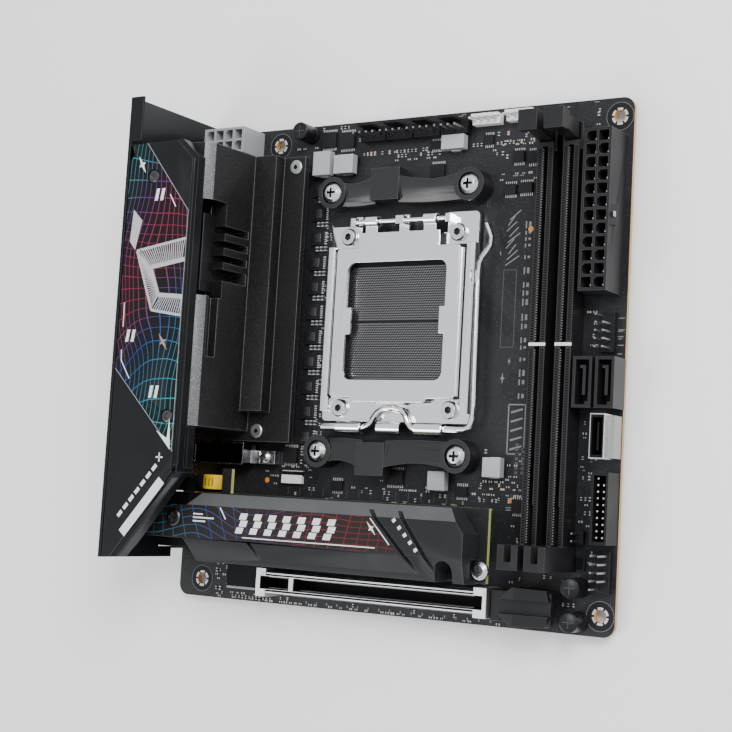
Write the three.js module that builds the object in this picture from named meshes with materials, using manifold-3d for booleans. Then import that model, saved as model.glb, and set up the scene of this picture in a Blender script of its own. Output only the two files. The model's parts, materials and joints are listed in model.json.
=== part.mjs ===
// A small-format computer motherboard, lying flat with its component side up.
// Board coordinates: x from the rear (port) edge, y from the expansion-slot edge, z up from the
// top face of the circuit board. The finished group is centred over its footprint and stands on z = 0.
import * as THREE from 'three';
import { mergeVertices } from 'three/addons/utils/BufferGeometryUtils.js';
import Module from 'manifold-3d';

const wasm = await Module();
wasm.setup();

// ---- driving dimensions, in millimetres ----
const boardSize = 170;
const boardThickness = 1.6;
const boardCorner = 4;
const underside = 4.1;            // lowest point below the board's top face
const seat = 0.08;                // clearance under a part soldered or laid on another
const holeRadius = 1.98;
const holePadRadius = 4.2;
const holePadProud = 0.1;
const holeInset = 4.9;             // front holes, from the front edge
const holeBackInset = 6.17;        // holes by the header edge, from that edge
const mountingHoles = [[10.16, 6.35], [boardSize - holeInset, 6.35],
  [33.02, boardSize - holeBackInset], [boardSize - holeInset, boardSize - holeBackInset]];

const socketX = 88.5;
const socketY = 98.5;
const coolerPitchX = 54;
const coolerPitchY = 90;
const frameScrewPitchY = 59.6;
const processorSize = 40;
const processorPlay = 0.5;
const housingRim = 5;
const housingHalf = processorSize / 2 + processorPlay + housingRim;
const housingHeight = 4;
const contactFloor = 2.2;
const frameWindowGap = 0.4;
const frameRail = 3.1;
const frameWidth = 2 * (housingHalf + frameWindowGap + frameRail);
const frameScrewPitchX = frameWidth - 14.8;
const frameLength = 71;
const frameBottom = 1.2;
const frameTop = 2.4;
const plateBottom = 4.8;
const plateThickness = 1.2;
const plateWindowX = processorSize - 1.2;
const plateWindowY = processorSize + 0.4;
const plateBorder = 4.8;          // load plate beside its window
const hingeOffsetY = 34.4;        // load plate's hinge pin, from the socket's centre
const hingeHeight = 5;
const hingePinRadius = 0.9;
const leverOffsetY = 36.3;        // lever's turning axis, from the socket's centre
const leverHeight = 4.2;
const leverWireRadius = 1.1;
const runningGap = 0.35;
const leverArmX = frameWidth / 2 + leverWireRadius + 0.6;

const bracketHeight = 7.6;
const bracketEyeRadius = 5.6;
const bracketArmInner = 4.4;      // arm's edges beside a screw eye, from the line between the eyes
const bracketArmOuter = 4.8;
const bracketWaist = 2;           // how far the arm's outer edge draws in halfway along
const bracketFall = 2.2;          // how far the arm's top falls towards the socket
const bracketLugX = [-11.2, 0];   // the hook lug's ends, from the socket's centre
const coolerPostRadius = 3.2;
const coolerScrewRadius = 1.7;

const coverHeight = 43.5;
const coverSkin = 1.6;
const coverEdgeX = 27.8;
const shieldFace = 1.7;           // outer face of the rear panel, behind the board's edge
const shieldThickness = 1.2;
const shieldStartY = 13.4;
const shieldEndY = boardSize + 4.2;

const sinkTop = 37.6;
const sinkWallX = 30.4;
const sinkStepZ = 12.4;
const sinkStepX = 40.3;
const sinkFootZ = 7.2;
const sinkFootX = 49.3;
const sinkFootThickness = 2.4;
const sinkStartY = 59.5;
const sinkEndY = 157.4;

const riserHeight = 13.4;
const riserThickness = 1.6;
const driveSinkTop = 26;
const driveSinkGap = 1.4;
const driveSinkEndX = 129.8;
const driveSinkStartY = 13.8;
const driveSinkEndY = 37;

const slotStartX = 42.1;
const slotEndX = 131.2;
const slotStartY = 3;
const slotEndY = 12.6;
const slotHeight = 11.2;
const slotChannel = 4.3;

const memorySlotX = [143.7, 152.7];
const memorySlotWidth = 5.6;
const memorySlotHeight = 9;
const memorySlotStartY = 19.2;
const memorySlotEndY = 155;
const memoryGroove = 1.8;
const memoryKeyY = 89.8;
const memoryTowerHeight = 23;
const memoryTowerWidth = 7;

const cellPitch = 4.2;
const cellSize = 3.4;
const powerHeight = 12.8;
const powerCellFloor = 3;

// ---- shape helpers ----
const closed = (points) => new THREE.Shape(points.map(([a, b]) => new THREE.Vector2(a, b)));

function rounded(x0, x1, y0, y1, radius) {
  const shape = new THREE.Shape();
  shape.moveTo(x0 + radius, y0);
  shape.lineTo(x1 - radius, y0);
  shape.absarc(x1 - radius, y0 + radius, radius, -Math.PI / 2, 0, false);
  shape.lineTo(x1, y1 - radius);
  shape.absarc(x1 - radius, y1 - radius, radius, 0, Math.PI / 2, false);
  shape.lineTo(x0 + radius, y1);
  shape.absarc(x0 + radius, y1 - radius, radius, Math.PI / 2, Math.PI, false);
  shape.lineTo(x0, y0 + radius);
  shape.absarc(x0 + radius, y0 + radius, radius, Math.PI, Math.PI * 1.5, false);
  return shape;
}

function circleHole(shape, x, y, radius) {
  const hole = new THREE.Path();
  hole.absarc(x, y, radius, 0, Math.PI * 2, false);
  shape.holes.push(hole);
}

function extrude(shape, depth, curveSegments) {
  return new THREE.ExtrudeGeometry(shape, { depth, bevelEnabled: false, curveSegments });
}

function upright(shape, z0, z1, curveSegments = 5) {
  return extrude(shape, z1 - z0, curveSegments).translate(0, 0, z0);
}

const prism = (points, z0, z1) => upright(closed(points), z0, z1);

function alongX(pointsYZ, x0, x1) {
  const turn = new THREE.Matrix4().makeBasis(
    new THREE.Vector3(0, 1, 0), new THREE.Vector3(0, 0, 1), new THREE.Vector3(1, 0, 0));
  return extrude(closed(pointsYZ), x1 - x0, 5).applyMatrix4(turn).translate(x0, 0, 0);
}

function alongY(pointsXZ, y0, y1) {
  const turn = new THREE.Matrix4().makeBasis(
    new THREE.Vector3(0, 0, 1), new THREE.Vector3(1, 0, 0), new THREE.Vector3(0, 1, 0));
  const swapped = pointsXZ.map(([x, z]) => [z, x]);
  return extrude(closed(swapped), y1 - y0, 5).applyMatrix4(turn).translate(0, y0, 0);
}

function block(x0, x1, y0, y1, z0, z1) {
  const box = new THREE.BoxGeometry(x1 - x0, y1 - y0, z1 - z0);
  return box.translate((x0 + x1) / 2, (y0 + y1) / 2, (z0 + z1) / 2);
}

function post(x, y, radius, z0, z1, sides = 16) {
  const cylinder = new THREE.CylinderGeometry(radius, radius, z1 - z0, sides);
  return cylinder.rotateX(Math.PI / 2).translate(x, y, (z0 + z1) / 2);
}

function barX(y, z, radius, x0, x1, sides = 12) {
  const cylinder = new THREE.CylinderGeometry(radius, radius, x1 - x0, sides);
  return cylinder.rotateZ(Math.PI / 2).translate((x0 + x1) / 2, y, z);
}

function turned(profile, x, y, sides = 16) {
  const points = profile.map(([r, z]) => new THREE.Vector2(r, z));
  return new THREE.LatheGeometry(points, sides).rotateX(Math.PI / 2).translate(x, y, 0);
}

function wire(points, radius, steps) {
  const path = new THREE.CatmullRomCurve3(points.map((p) => new THREE.Vector3(...p)), false, 'centripetal');
  const section = closed(Array.from({ length: 8 }, (unused, i) => {
    const angle = (i / 8) * Math.PI * 2;
    return [radius * Math.cos(angle), radius * Math.sin(angle)];
  }));
  return new THREE.ExtrudeGeometry(section, { steps, bevelEnabled: false, extrudePath: path });
}

// ---- boolean helpers ----
function toSolid(geometry) {
  const bare = geometry.clone();
  bare.deleteAttribute('normal');
  bare.deleteAttribute('uv');
  const merged = mergeVertices(bare, 1e-5);
  return new wasm.Manifold(new wasm.Mesh({
    numProp: 3,
    vertProperties: new Float32Array(merged.attributes.position.array),
    triVerts: new Uint32Array(merged.index.array),
  }));
}

function fromSolid(solid) {
  const mesh = solid.getMesh();
  const geometry = new THREE.BufferGeometry();
  geometry.setAttribute('position', new THREE.BufferAttribute(mesh.vertProperties, 3));
  geometry.setIndex(new THREE.BufferAttribute(mesh.triVerts, 1));
  return geometry;
}

function join(...geometries) {
  return fromSolid(geometries.map(toSolid).reduce((whole, piece) => whole.add(piece)));
}

function cut(geometry, ...tools) {
  return fromSolid(tools.map(toSolid).reduce((whole, tool) => whole.subtract(tool), toSolid(geometry)));
}

const keep = (geometry, region) => fromSolid(toSolid(geometry).intersect(toSolid(region)));

// ---- assembly ----
const finishes = {
  mask: { color: 0x17181b, roughness: 0.5, metalness: 0 },
  blackPlastic: { color: 0x141416, roughness: 0.45, metalness: 0 },
  greyPlastic: { color: 0xa9abae, roughness: 0.5, metalness: 0 },
  whitePlastic: { color: 0xe8e8e4, roughness: 0.5, metalness: 0 },
  blackMetal: { color: 0x1d1f22, roughness: 0.55, metalness: 0.6 },
  panelBlack: { color: 0x24262a, roughness: 0.5, metalness: 0.3 },
  brightSteel: { color: 0xd5d7da, roughness: 0.25, metalness: 1 },
  darkSteel: { color: 0x3a3c40, roughness: 0.5, metalness: 0.9 },
  contacts: { color: 0x5a5a58, roughness: 0.4, metalness: 0.5 },
  yellowWrap: { color: 0xf2c516, roughness: 0.4, metalness: 0 },
};

const object = new THREE.Group();

function part(name, finish, geometry) {
  const mesh = new THREE.Mesh(geometry, new THREE.MeshStandardMaterial(finishes[finish]));
  mesh.name = name;
  object.add(mesh);
}

const socketCorners = [[-1, 1], [1, 1], [-1, -1], [1, -1]];
const coolerPoints = socketCorners.map(([i, j]) => [
  socketX + (i * coolerPitchX) / 2, socketY + (j * coolerPitchY) / 2]);
const frameScrewPoints = socketCorners.map(([i, j]) => [
  socketX + (i * frameScrewPitchX) / 2, socketY + (j * frameScrewPitchY) / 2]);

// circuit board, with its holes and the solder rings under the four mounting holes
function circuitBoard() {
  const outline = rounded(0, boardSize, 0, boardSize, boardCorner);
  mountingHoles.forEach(([x, y]) => circleHole(outline, x, y, holeRadius));
  coolerPoints.forEach(([x, y]) => circleHole(outline, x, y, coolerPostRadius + runningGap));
  const rings = mountingHoles.map(([x, y]) => {
    const ring = new THREE.Shape();
    ring.absarc(x, y, holePadRadius, 0, Math.PI * 2, false);
    circleHole(ring, x, y, holeRadius);
    return upright(ring, -boardThickness - holePadProud, -boardThickness + 0.2, 8);
  });
  return join(upright(outline, -boardThickness, 0, 8), ...rings);
}
part('circuit_board', 'mask', circuitBoard());

// backplate under the socket, with threaded posts that come up through the board
const backplateTop = -boardThickness - 0.2;
function backplate() {
  const halfX = coolerPitchX / 2 + 5.5;
  const halfY = coolerPitchY / 2 + 5.5;
  const outline = rounded(socketX - halfX, socketX + halfX, socketY - halfY, socketY + halfY, 5);
  outline.holes.push(rounded(socketX - 15, socketX + 15, socketY - 17, socketY + 17, 3));
  const plate = upright(outline, -underside, backplateTop);
  const posts = coolerPoints.map(([x, y]) => post(x, y, coolerPostRadius, backplateTop - 0.5, -0.1));
  const threads = coolerPoints.map(([x, y]) => post(x, y, coolerScrewRadius + 0.2, -underside - 1, 1));
  return cut(join(plate, ...posts), ...threads);
}
part('backplate', 'darkSteel', backplate());

// processor socket: plastic housing around a sunk field of contacts
const pocketHalf = processorSize / 2 + processorPlay;
function socketHousing() {
  const body = block(socketX - housingHalf, socketX + housingHalf,
    socketY - housingHalf, socketY + housingHalf, seat, housingHeight);
  const pocket = block(socketX - pocketHalf, socketX + pocketHalf,
    socketY - pocketHalf, socketY + pocketHalf, contactFloor, housingHeight + 1);
  return cut(body, pocket);
}
part('socket_housing', 'contacts', socketHousing());

// fixed steel frame around the housing: rails, screw tabs, hinge pin and the lever's rolled lips
const hingeY = socketY + hingeOffsetY;
const leverY = socketY - leverOffsetY;
const frameLeft = socketX - frameWidth / 2;
const frameRight = socketX + frameWidth / 2;
const frameFront = socketY - 34.2;
const frameBack = frameFront + frameLength;
const leverLips = [[-21, -11.4], [-4.6, 4.4], [10, 20.3]];
function rolledLip(x0, x1) {
  const outer = leverWireRadius + runningGap + 0.8;
  const inner = leverWireRadius + runningGap;
  const turns = [0, 30, 60, 90, 120, 150, 180].map((angle) => (angle * Math.PI) / 180);
  const arc = (radius, angle) => [leverY + radius * Math.cos(angle), leverHeight + radius * Math.sin(angle)];
  const profile = [
    [frameFront + 1, frameBottom], [frameFront + 1, frameTop], [leverY + outer, frameTop],
    ...turns.map((angle) => arc(outer, angle)),
    [leverY - outer, leverHeight - 1],
    [leverY - inner, leverHeight - 1],
    ...turns.slice().reverse().map((angle) => arc(inner, angle)),
    [leverY + inner, frameBottom],
  ];
  return alongX(profile, socketX + x0, socketX + x1);
}
function socketFrame() {
  const ring = upright(rounded(frameLeft, frameRight, frameFront, frameBack, 1.5), frameBottom, frameTop);
  const clear = housingHalf + frameWindowGap;
  const window = block(socketX - clear, socketX + clear, socketY - clear, socketY + clear, 0, 9);
  const rails = [[frameLeft, frameLeft + frameRail + 0.3], [frameRight - frameRail - 0.3, frameRight]].map(([x0, x1]) =>
    alongY([[x0, frameBottom], [x1, frameBottom], [x1, 4.4], [x1 - 0.8, 5.2], [x0 + 0.8, 5.2], [x0, 4.4]],
      socketY - 31, socketY + 26));
  const lugs = [[-19.4, -17.6], [18, 19.8]].map(([x0, x1]) =>
    block(socketX + x0, socketX + x1, hingeY - 1.4, hingeY + 1.4, frameBottom, hingeHeight + 1));
  const pin = barX(hingeY, hingeHeight, hingePinRadius, socketX - 19.2, socketX + 19.6);
  const finger = block(socketX - 1.4, socketX + 1.6, hingeY - 1.2, hingeY + 1.6, frameBottom, hingeHeight + 1);
  const nose = block(frameRight - 1.4, frameRight - 0.4, socketY + 12.5, socketY + 16.5, 4, 6.4);
  const screwHoles = frameScrewPoints.map(([x, y]) => post(x, y, 1.9, 0, 9, 12));
  const lips = leverLips.map(([x0, x1]) => rolledLip(x0, x1));
  const hingeGaps = [[-16.8, -1.8], [2, 17.2]].map(([x0, x1]) =>
    block(socketX + x0, socketX + x1, hingeY - 4.4, frameBack + 1, 0, 3));
  const cornerStep = block(frameLeft - 1, socketX - 19.4, frameBack - 3.2, frameBack + 1, 0, 3);
  const plate = cut(ring, ...hingeGaps, cornerStep);
  return cut(join(plate, ...rails, ...lugs, pin, finger, nose, ...lips), window, ...screwHoles);
}
part('socket_frame', 'brightSteel', socketFrame());

// load plate, turning on the frame's hinge pin, with a window over the processor
const plateTop = plateBottom + plateThickness;
const knuckles = [[-13.2, -8.4], [9.8, 14.6]];
function loadPlate() {
  const halfX = plateWindowX / 2 + plateBorder;
  const front = socketY - 26.2;
  const body = upright(rounded(socketX - halfX, socketX + halfX, front, socketY + 25.2, 1.2), plateBottom, plateTop);
  const neck = block(socketX - 15.8, socketX + 15.8, socketY + 24, hingeY - 4, plateBottom, plateTop);
  const apron = prism([[socketX - 17.5, front + 1], [socketX - 15, front - 1.5], [socketX + 12.5, front - 1.5],
    [socketX + 15, front + 1]], plateBottom, plateTop);
  const tongue = block(socketX - 5.4, socketX + 5, leverY + 8, front + 1, plateBottom - 0.8, plateTop - 0.6);
  const barrels = knuckles.map(([x0, x1]) => join(
    barX(hingeY, hingeHeight, hingePinRadius + runningGap + 0.9, socketX + x0, socketX + x1, 16),
    block(socketX + x0, socketX + x1, hingeY - 5, hingeY - 0.8, plateBottom, plateTop)));
  const bore = barX(hingeY, hingeHeight, hingePinRadius + runningGap, socketX - 30, socketX + 30, 16);
  const opening = rounded(socketX - plateWindowX / 2, socketX + plateWindowX / 2,
    socketY - plateWindowY / 2, socketY + plateWindowY / 2, 3);
  const window = upright(opening, 0, 9);
  const sideTabs = [-1, 1].map((side) => {
    const edge = socketX + side * (plateWindowX / 2);
    return block(Math.min(edge, edge - side * 2), Math.max(edge + side, edge - side * 2),
      socketY - 4.6, socketY + 4.6, plateBottom, plateTop);
  });
  return join(cut(join(body, neck, apron, tongue, ...barrels), bore, window), ...sideTabs);
}
part('load_plate', 'brightSteel', loadPlate());

// load lever: a bent wire with a crank over the plate's tongue and an arm along the right side
function loadLever() {
  const x = socketX;
  const armX = socketX + leverArmX;
  const z = leverHeight;
  return wire([
    [x - 27.5, leverY, z], [x - 20, leverY, z], [x - 10.6, leverY, z], [x - 8.6, leverY + 0.6, z],
    [x - 6.2, leverY + 4.4, z], [x - 4, leverY + 6.2, z], [x, leverY + 6.6, z], [x + 3.8, leverY + 6.2, z],
    [x + 5.6, leverY + 4.4, z], [x + 7.4, leverY + 0.6, z], [x + 9.2, leverY, z], [x + 20, leverY, z],
    [armX - 3.4, leverY, z], [armX - 1, leverY + 0.7, z], [armX, leverY + 3, z],
    [armX, leverY + 25, z], [armX, leverY + 54, z], [armX + 0.6, leverY + 56.4, z],
    [armX + 4.2, leverY + 60.8, z + 0.6], [armX + 4.6, leverY + 63, z + 0.8], [armX + 2.6, leverY + 68, z + 1],
  ], leverWireRadius, 54);
}
part('load_lever', 'brightSteel', loadLever());

// frame screws with a six-sided drive
frameScrewPoints.forEach(([x, y], i) => {
  const headBottom = frameTop + 0.05;
  const screw = turned([[0, 0.6], [1.5, 0.6], [1.5, headBottom], [3.1, headBottom], [3.1, headBottom + 0.9],
    [2.6, headBottom + 1.7], [0, headBottom + 1.7]], x, y);
  part(`frame_screw_${i + 1}`, 'brightSteel', cut(screw, post(x, y, 1.3, headBottom + 0.7, 9, 6)));
});

// cooler brackets: two waisted plastic arms between two screw eyes, with a hook lug facing away from the socket
const crossDrive = (x, y, z0, size) => join(
  block(x - size, x + size, y - 0.4, y + 0.4, z0, z0 + 4), block(x - 0.4, x + 0.4, y - size, y + size, z0, z0 + 4));
function coolerBracket(side) {
  const y = socketY + (side * coolerPitchY) / 2;
  const ends = [socketX - coolerPitchX / 2, socketX + coolerPitchX / 2];
  const eyes = ends.map((x) => post(x, y, bracketEyeRadius, seat, bracketHeight, 28));
  const [lugLeft, lugRight] = bracketLugX.map((offset) => socketX + offset);
  const armTop = (across) => bracketHeight - 0.3 - bracketFall * ((bracketArmOuter - across) / 10) ** 2;
  const fall = [4.8, 3.2, 1.6, 0, -1.6, -3.2, -5].map((across) => [y + side * across, armTop(across)]);
  const crown = alongX([[y + side * 5, 2], ...fall, [y - side * 5, 2]], ends[0], ends[1]);
  const arms = [[ends[0], lugLeft + 1], [lugRight - 1, ends[1]]].map(([from, to]) => {
    const places = Array.from({ length: 9 }, (unused, n) => n / 8);
    const at = (t, across) => [from + t * (to - from), y + side * across];
    const outer = places.map((t) => at(t, bracketArmOuter - bracketWaist * Math.sin(Math.PI * t)));
    const inner = places.map((t) => at(t, -bracketArmInner - 0.5 * Math.sin(Math.PI * t)));
    return prism([...outer, ...inner.reverse()], 2, bracketHeight);
  });
  const bar = keep(join(...arms), crown);
  const lugEnds = [y - side * 3.6, y + side * 7.6];
  const lug = block(lugLeft, lugRight, Math.min(...lugEnds), Math.max(...lugEnds), 2, bracketHeight);
  const wells = ends.map((x) => post(x, y, 4, bracketHeight - 2.2, 20, 24));
  const bores = ends.map((x) => post(x, y, coolerScrewRadius + 0.3, -1, 20, 12));
  return cut(join(bar, lug, ...eyes), ...wells, ...bores);
}
part('cooler_bracket_back', 'blackPlastic', coolerBracket(1));
part('cooler_bracket_front', 'blackPlastic', coolerBracket(-1));
coolerPoints.forEach(([x, y], i) => {
  const under = bracketHeight - 2.2 + 0.05;
  const screw = turned([[0, -3], [coolerScrewRadius, -3], [coolerScrewRadius, under], [3.6, under],
    [3.6, under + 1.6], [2.4, under + 3], [0, under + 3.3]], x, y);
  part(`cooler_screw_${i + 1}`, 'brightSteel', cut(screw, crossDrive(x, y, under + 1.6, 1.7)));
});

// rear panel with its port openings
const panelOuter = -shieldFace;
const panelInner = -shieldFace + shieldThickness;
const portPlay = 0.4;
const ports = {
  audio_block: { y0: 17.5, y1: 37, z0: seat, z1: 12.6, depth: 12 },
  antenna_block: { y0: 43, y1: 58, z0: seat, z1: 8.6, depth: 5.6 },
  lan_port: { y0: 62, y1: 78, z0: seat, z1: 13.6, depth: 19 },
  usb_stack_1: { y0: 81, y1: 95.4, z0: seat, z1: 31, depth: 17.8 },
  usb_stack_2: { y0: 98.4, y1: 112.8, z0: seat, z1: 31, depth: 17.8 },
  video_port: { y0: 116, y1: 132, z0: seat, z1: 8, depth: 12 },
};
const buttons = {
  flash_button: { y: 140, z: 9 },
  clear_button: { y: 149, z: 9 },
};
const buttonRadius = 2.3;
function shield() {
  const plate = block(panelOuter, panelInner, shieldStartY, shieldEndY, -underside, coverHeight);
  const flange = block(panelOuter, 4, 158.2, shieldEndY, coverHeight - 1, coverHeight);
  const corner = block(panelOuter - 1, panelInner + 1, shieldStartY - 1, shieldStartY + 3, -underside - 1, 5.7);
  const mouths = Object.values(ports).map((p) =>
    block(panelOuter - 1, panelInner + 1, p.y0 - portPlay, p.y1 + portPlay, p.z0 - portPlay, p.z1 + portPlay));
  const holes = Object.values(buttons).map((b) =>
    barX(b.y, b.z, buttonRadius + portPlay, panelOuter - 1, panelInner + 1, 16));
  return cut(join(plate, flange), corner, ...mouths, ...holes);
}
part('io_shield', 'panelBlack', shield());

// port connectors: a metal shell with its mouths opening to the rear
const portFace = panelOuter - 0.3;
function portBody(p, mouths) {
  const body = block(portFace, p.depth, p.y0, p.y1, p.z0, p.z1);
  return cut(body, ...mouths);
}
function usbStack(p) {
  const mouths = [];
  for (let row = 0; row < 4; row += 1) {
    const z = p.z0 + 1.4 + row * 7.4;
    const shell = block(portFace - 1, 9, p.y0 + 0.9, p.y1 - 0.9, z, z + 5.6);
    const tongue = block(portFace + 0.8, 10, p.y0 + 1.6, p.y1 - 1.6, z + 3.3, z + 5);
    mouths.push(cut(shell, tongue));
  }
  return portBody(p, mouths);
}
part('usb_stack_1', 'brightSteel', usbStack(ports.usb_stack_1));
part('usb_stack_2', 'brightSteel', usbStack(ports.usb_stack_2));
const lan = ports.lan_port;
part('lan_port', 'brightSteel', portBody(lan, [
  block(portFace - 1, 12, lan.y0 + 2, lan.y1 - 2, lan.z0 + 2.4, lan.z1 - 3),
  block(portFace - 1, 12, lan.y0 + 5, lan.y1 - 5, lan.z1 - 3.5, lan.z1 - 1.2)]));
const video = ports.video_port;
part('video_port', 'brightSteel', portBody(video, [
  cut(block(portFace - 1, 9, video.y0 + 1, video.y1 - 1, video.z0 + 1.6, video.z1 - 1.2),
    block(portFace + 1, 10, video.y0 + 2.6, video.y1 - 2.6, video.z0 + 3.6, video.z0 + 4.9))]));
const audio = ports.audio_block;
part('audio_block', 'blackPlastic', portBody(audio, [0, 1].map((i) =>
  barX(audio.y0 + 5 + i * 9.5, 6.4, 1.8, portFace - 1, 9, 16))));
const antenna = ports.antenna_block;
part('antenna_block', 'brightSteel', portBody(antenna, [0, 1].map((i) =>
  barX(antenna.y0 + 4 + i * 7, 4.3, 1.4, portFace - 1, 3, 12))));

// two push buttons that slide inwards through the rear panel
Object.entries(buttons).forEach(([name, b]) => {
  const stem = barX(b.y, b.z, buttonRadius, portFace - 0.5, 2, 16);
  const collar = barX(b.y, b.z, buttonRadius + 0.9, panelInner + 0.3, 1.4, 16);
  part(name, 'blackPlastic', join(stem, collar));
});

// cover over the ports: a thin shell with a cut-off corner at each end
const coverOutline = [[0.1, 13.8], [3.4, 13.8], [coverEdgeX, 43.6], [coverEdgeX, 150.4], [20.6, 156.9], [0.1, 156.9]];
const coverScrewPoints = [[10.9, 145], [24.1, 62]];
function grown(points, amount) {
  return points.map(([x, y]) => [x > 20 ? x + amount : x, y > 150 && x > 10 ? y + amount * 0.6 : y]);
}
function ioCover() {
  const skirtZ = 33.6;
  const top = prism(coverOutline, coverHeight - coverSkin, coverHeight);
  const wallLow = 38.4;
  const rim = cut(prism(grown(coverOutline, 1.4), wallLow, coverHeight - 1.5),
    prism(coverOutline.map(([x, y]) => [x > 20 ? x - 0.4 : x - 2, y > 150 ? y - 0.4 : y - 2]), wallLow - 1,
      coverHeight - coverSkin));
  const diagonal = prism([[3.4, 13.8], [coverEdgeX, 43.6], [coverEdgeX + 1.4, 43.6], [coverEdgeX + 1.4, 46],
    [coverEdgeX - 1, 46], [1.6, 14.6], [1.6, 13.8]], skirtZ, coverHeight - 1);
  const endWall = block(0.1, 18.8, 155.3, 156.9, 20, coverHeight - 1);
  const sideTrim = prism([[coverEdgeX - 0.3, 45], [coverEdgeX + 2.6, 45], [coverEdgeX + 2.6, sinkStartY - 0.5],
    [coverEdgeX - 0.3, sinkStartY - 0.5]], skirtZ + 2, 39);
  const posts = coverScrewPoints.map(([x, y]) => post(x, y, 3.2, coverHeight - 4, coverHeight - 0.5, 16));
  const bores = coverScrewPoints.flatMap(([x, y]) => [
    post(x, y, 2.5, coverHeight - 0.9, coverHeight + 1, 20), post(x, y, 1.3, coverHeight - 9, coverHeight + 1, 12)]);
  return cut(join(top, rim, diagonal, endWall, sideTrim, ...posts), ...bores);
}
part('io_cover', 'panelBlack', ioCover());
coverScrewPoints.forEach(([x, y], i) => {
  const under = coverHeight - 0.85;
  const screw = turned([[0, under - 3], [1.1, under - 3], [1.1, under], [2.2, under], [2.2, under + 0.6],
    [1.6, under + 0.8], [0, under + 0.8]], x, y);
  part(`cover_screw_${i + 1}`, 'blackMetal', cut(screw, crossDrive(x, y, under + 0.4, 1.1)));
});

// voltage regulator heatsink: a tall block stepped down towards the socket, on a thin foot
const sinkRecessY = [104.2, 137.6];
const sinkVentY = [[110.4, 114.4], [116.9, 119.3], [122, 124.4], [127, 129.6]];
const sinkScrewPoints = [[45.6, 153.6], [35.6, 59.7]];
function vrmHeatsink() {
  const blockStartY = sinkStartY + 7;
  const footBottom = sinkFootZ - sinkFootThickness;
  const tall = alongY([[19.6, footBottom], [sinkWallX + 0.8, footBottom], [sinkWallX + 0.8, sinkStepZ],
    [sinkWallX, sinkTop - 3.3], [sinkWallX - 2.4, sinkTop], [19.6, sinkTop]], sinkStartY, sinkEndY);
  const step = block(sinkWallX, sinkStepX, blockStartY, sinkEndY, footBottom, sinkStepZ);
  const foot = block(20, sinkFootX, sinkStartY - 3.5, sinkEndY, footBottom, sinkFootZ);
  const recess = block(21.6, sinkWallX + 5, sinkRecessY[0], sinkRecessY[1], 26.6, sinkTop + 1);
  const vents = sinkVentY.map(([y0, y1]) => block(24.4, sinkWallX + 5, y0, y1, 13.8, 27));
  const groove = block(sinkWallX - 3, sinkWallX + 5, 83.6, sinkRecessY[0] + 1, 28, 33);
  const portRoom = block(19, 21, 60.5, 134, 0, 33);
  const bores = sinkScrewPoints.map(([x, y]) => post(x, y, 1.6, 0, 20, 12));
  return cut(join(tall, step, foot), recess, ...vents, groove, portRoom, ...bores);
}
part('vrm_heatsink', 'blackMetal', vrmHeatsink());
part('heatsink_insert', 'blackMetal', join(
  block(22, 26, sinkRecessY[0] + 2, sinkRecessY[1] - 4, 26.7, 33),
  block(22, 25, sinkRecessY[0] + 0.5, sinkRecessY[1] - 0.5, 26.7, 28)));
sinkScrewPoints.forEach(([x, y], i) => {
  const under = sinkFootZ + 0.05;
  const washer = turned([[0, 0.2], [1.3, 0.2], [1.3, under], [2.6, under], [2.6, under + 0.5],
    [2.2, under + 0.8], [0, under + 0.8]], x, y);
  part(`heatsink_screw_${i + 1}`, 'brightSteel', cut(washer, post(x, y, 0.8, under + 0.2, 20, 6)));
});

// wireless module in its metal can, and its end clip
part('wifi_module', 'darkSteel', join(
  block(9, 30.8, 47.6, 55.6, 2, 8),
  block(9, 31.8, 48.2, 55, seat, 2.4),
  block(30, 41.2, 48.4, 53, seat, 3.4)));

// coin cell in its shrink sleeve, lying on its side
part('cmos_battery', 'yellowWrap', alongY(
  Array.from({ length: 16 }, (unused, i) => {
    const angle = (i / 16) * Math.PI * 2;
    return [16.2 + 4.2 * Math.cos(angle), 4.4 + 4.2 * Math.sin(angle)];
  }), 38.4, 43.6));

// drive riser above the board, its stacking connector and the chipset heatsink under it
const riserTop = riserHeight + riserThickness;
const riserEndX = 132.8;
part('riser_board', 'mask', prism([[20.6, 14], [riserEndX, 14], [riserEndX, 37.4], [31.7, 37.4], [31.7, 45.8],
  [27.6, 45.8], [27.6, 37.4], [20.6, 37.4]], riserHeight, riserTop));
part('riser_connector', 'blackPlastic', block(44, 74, 17, 23.5, seat, riserHeight - seat));
part('chipset_heatsink', 'blackMetal', join(
  block(82, 114, 15.5, 36, 1.6, 4),
  ...Array.from({ length: 7 }, (unused, i) => block(82.5 + i * 4.8, 84.5 + i * 4.8, 15.5, 36, 3.5, 11))));

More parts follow.
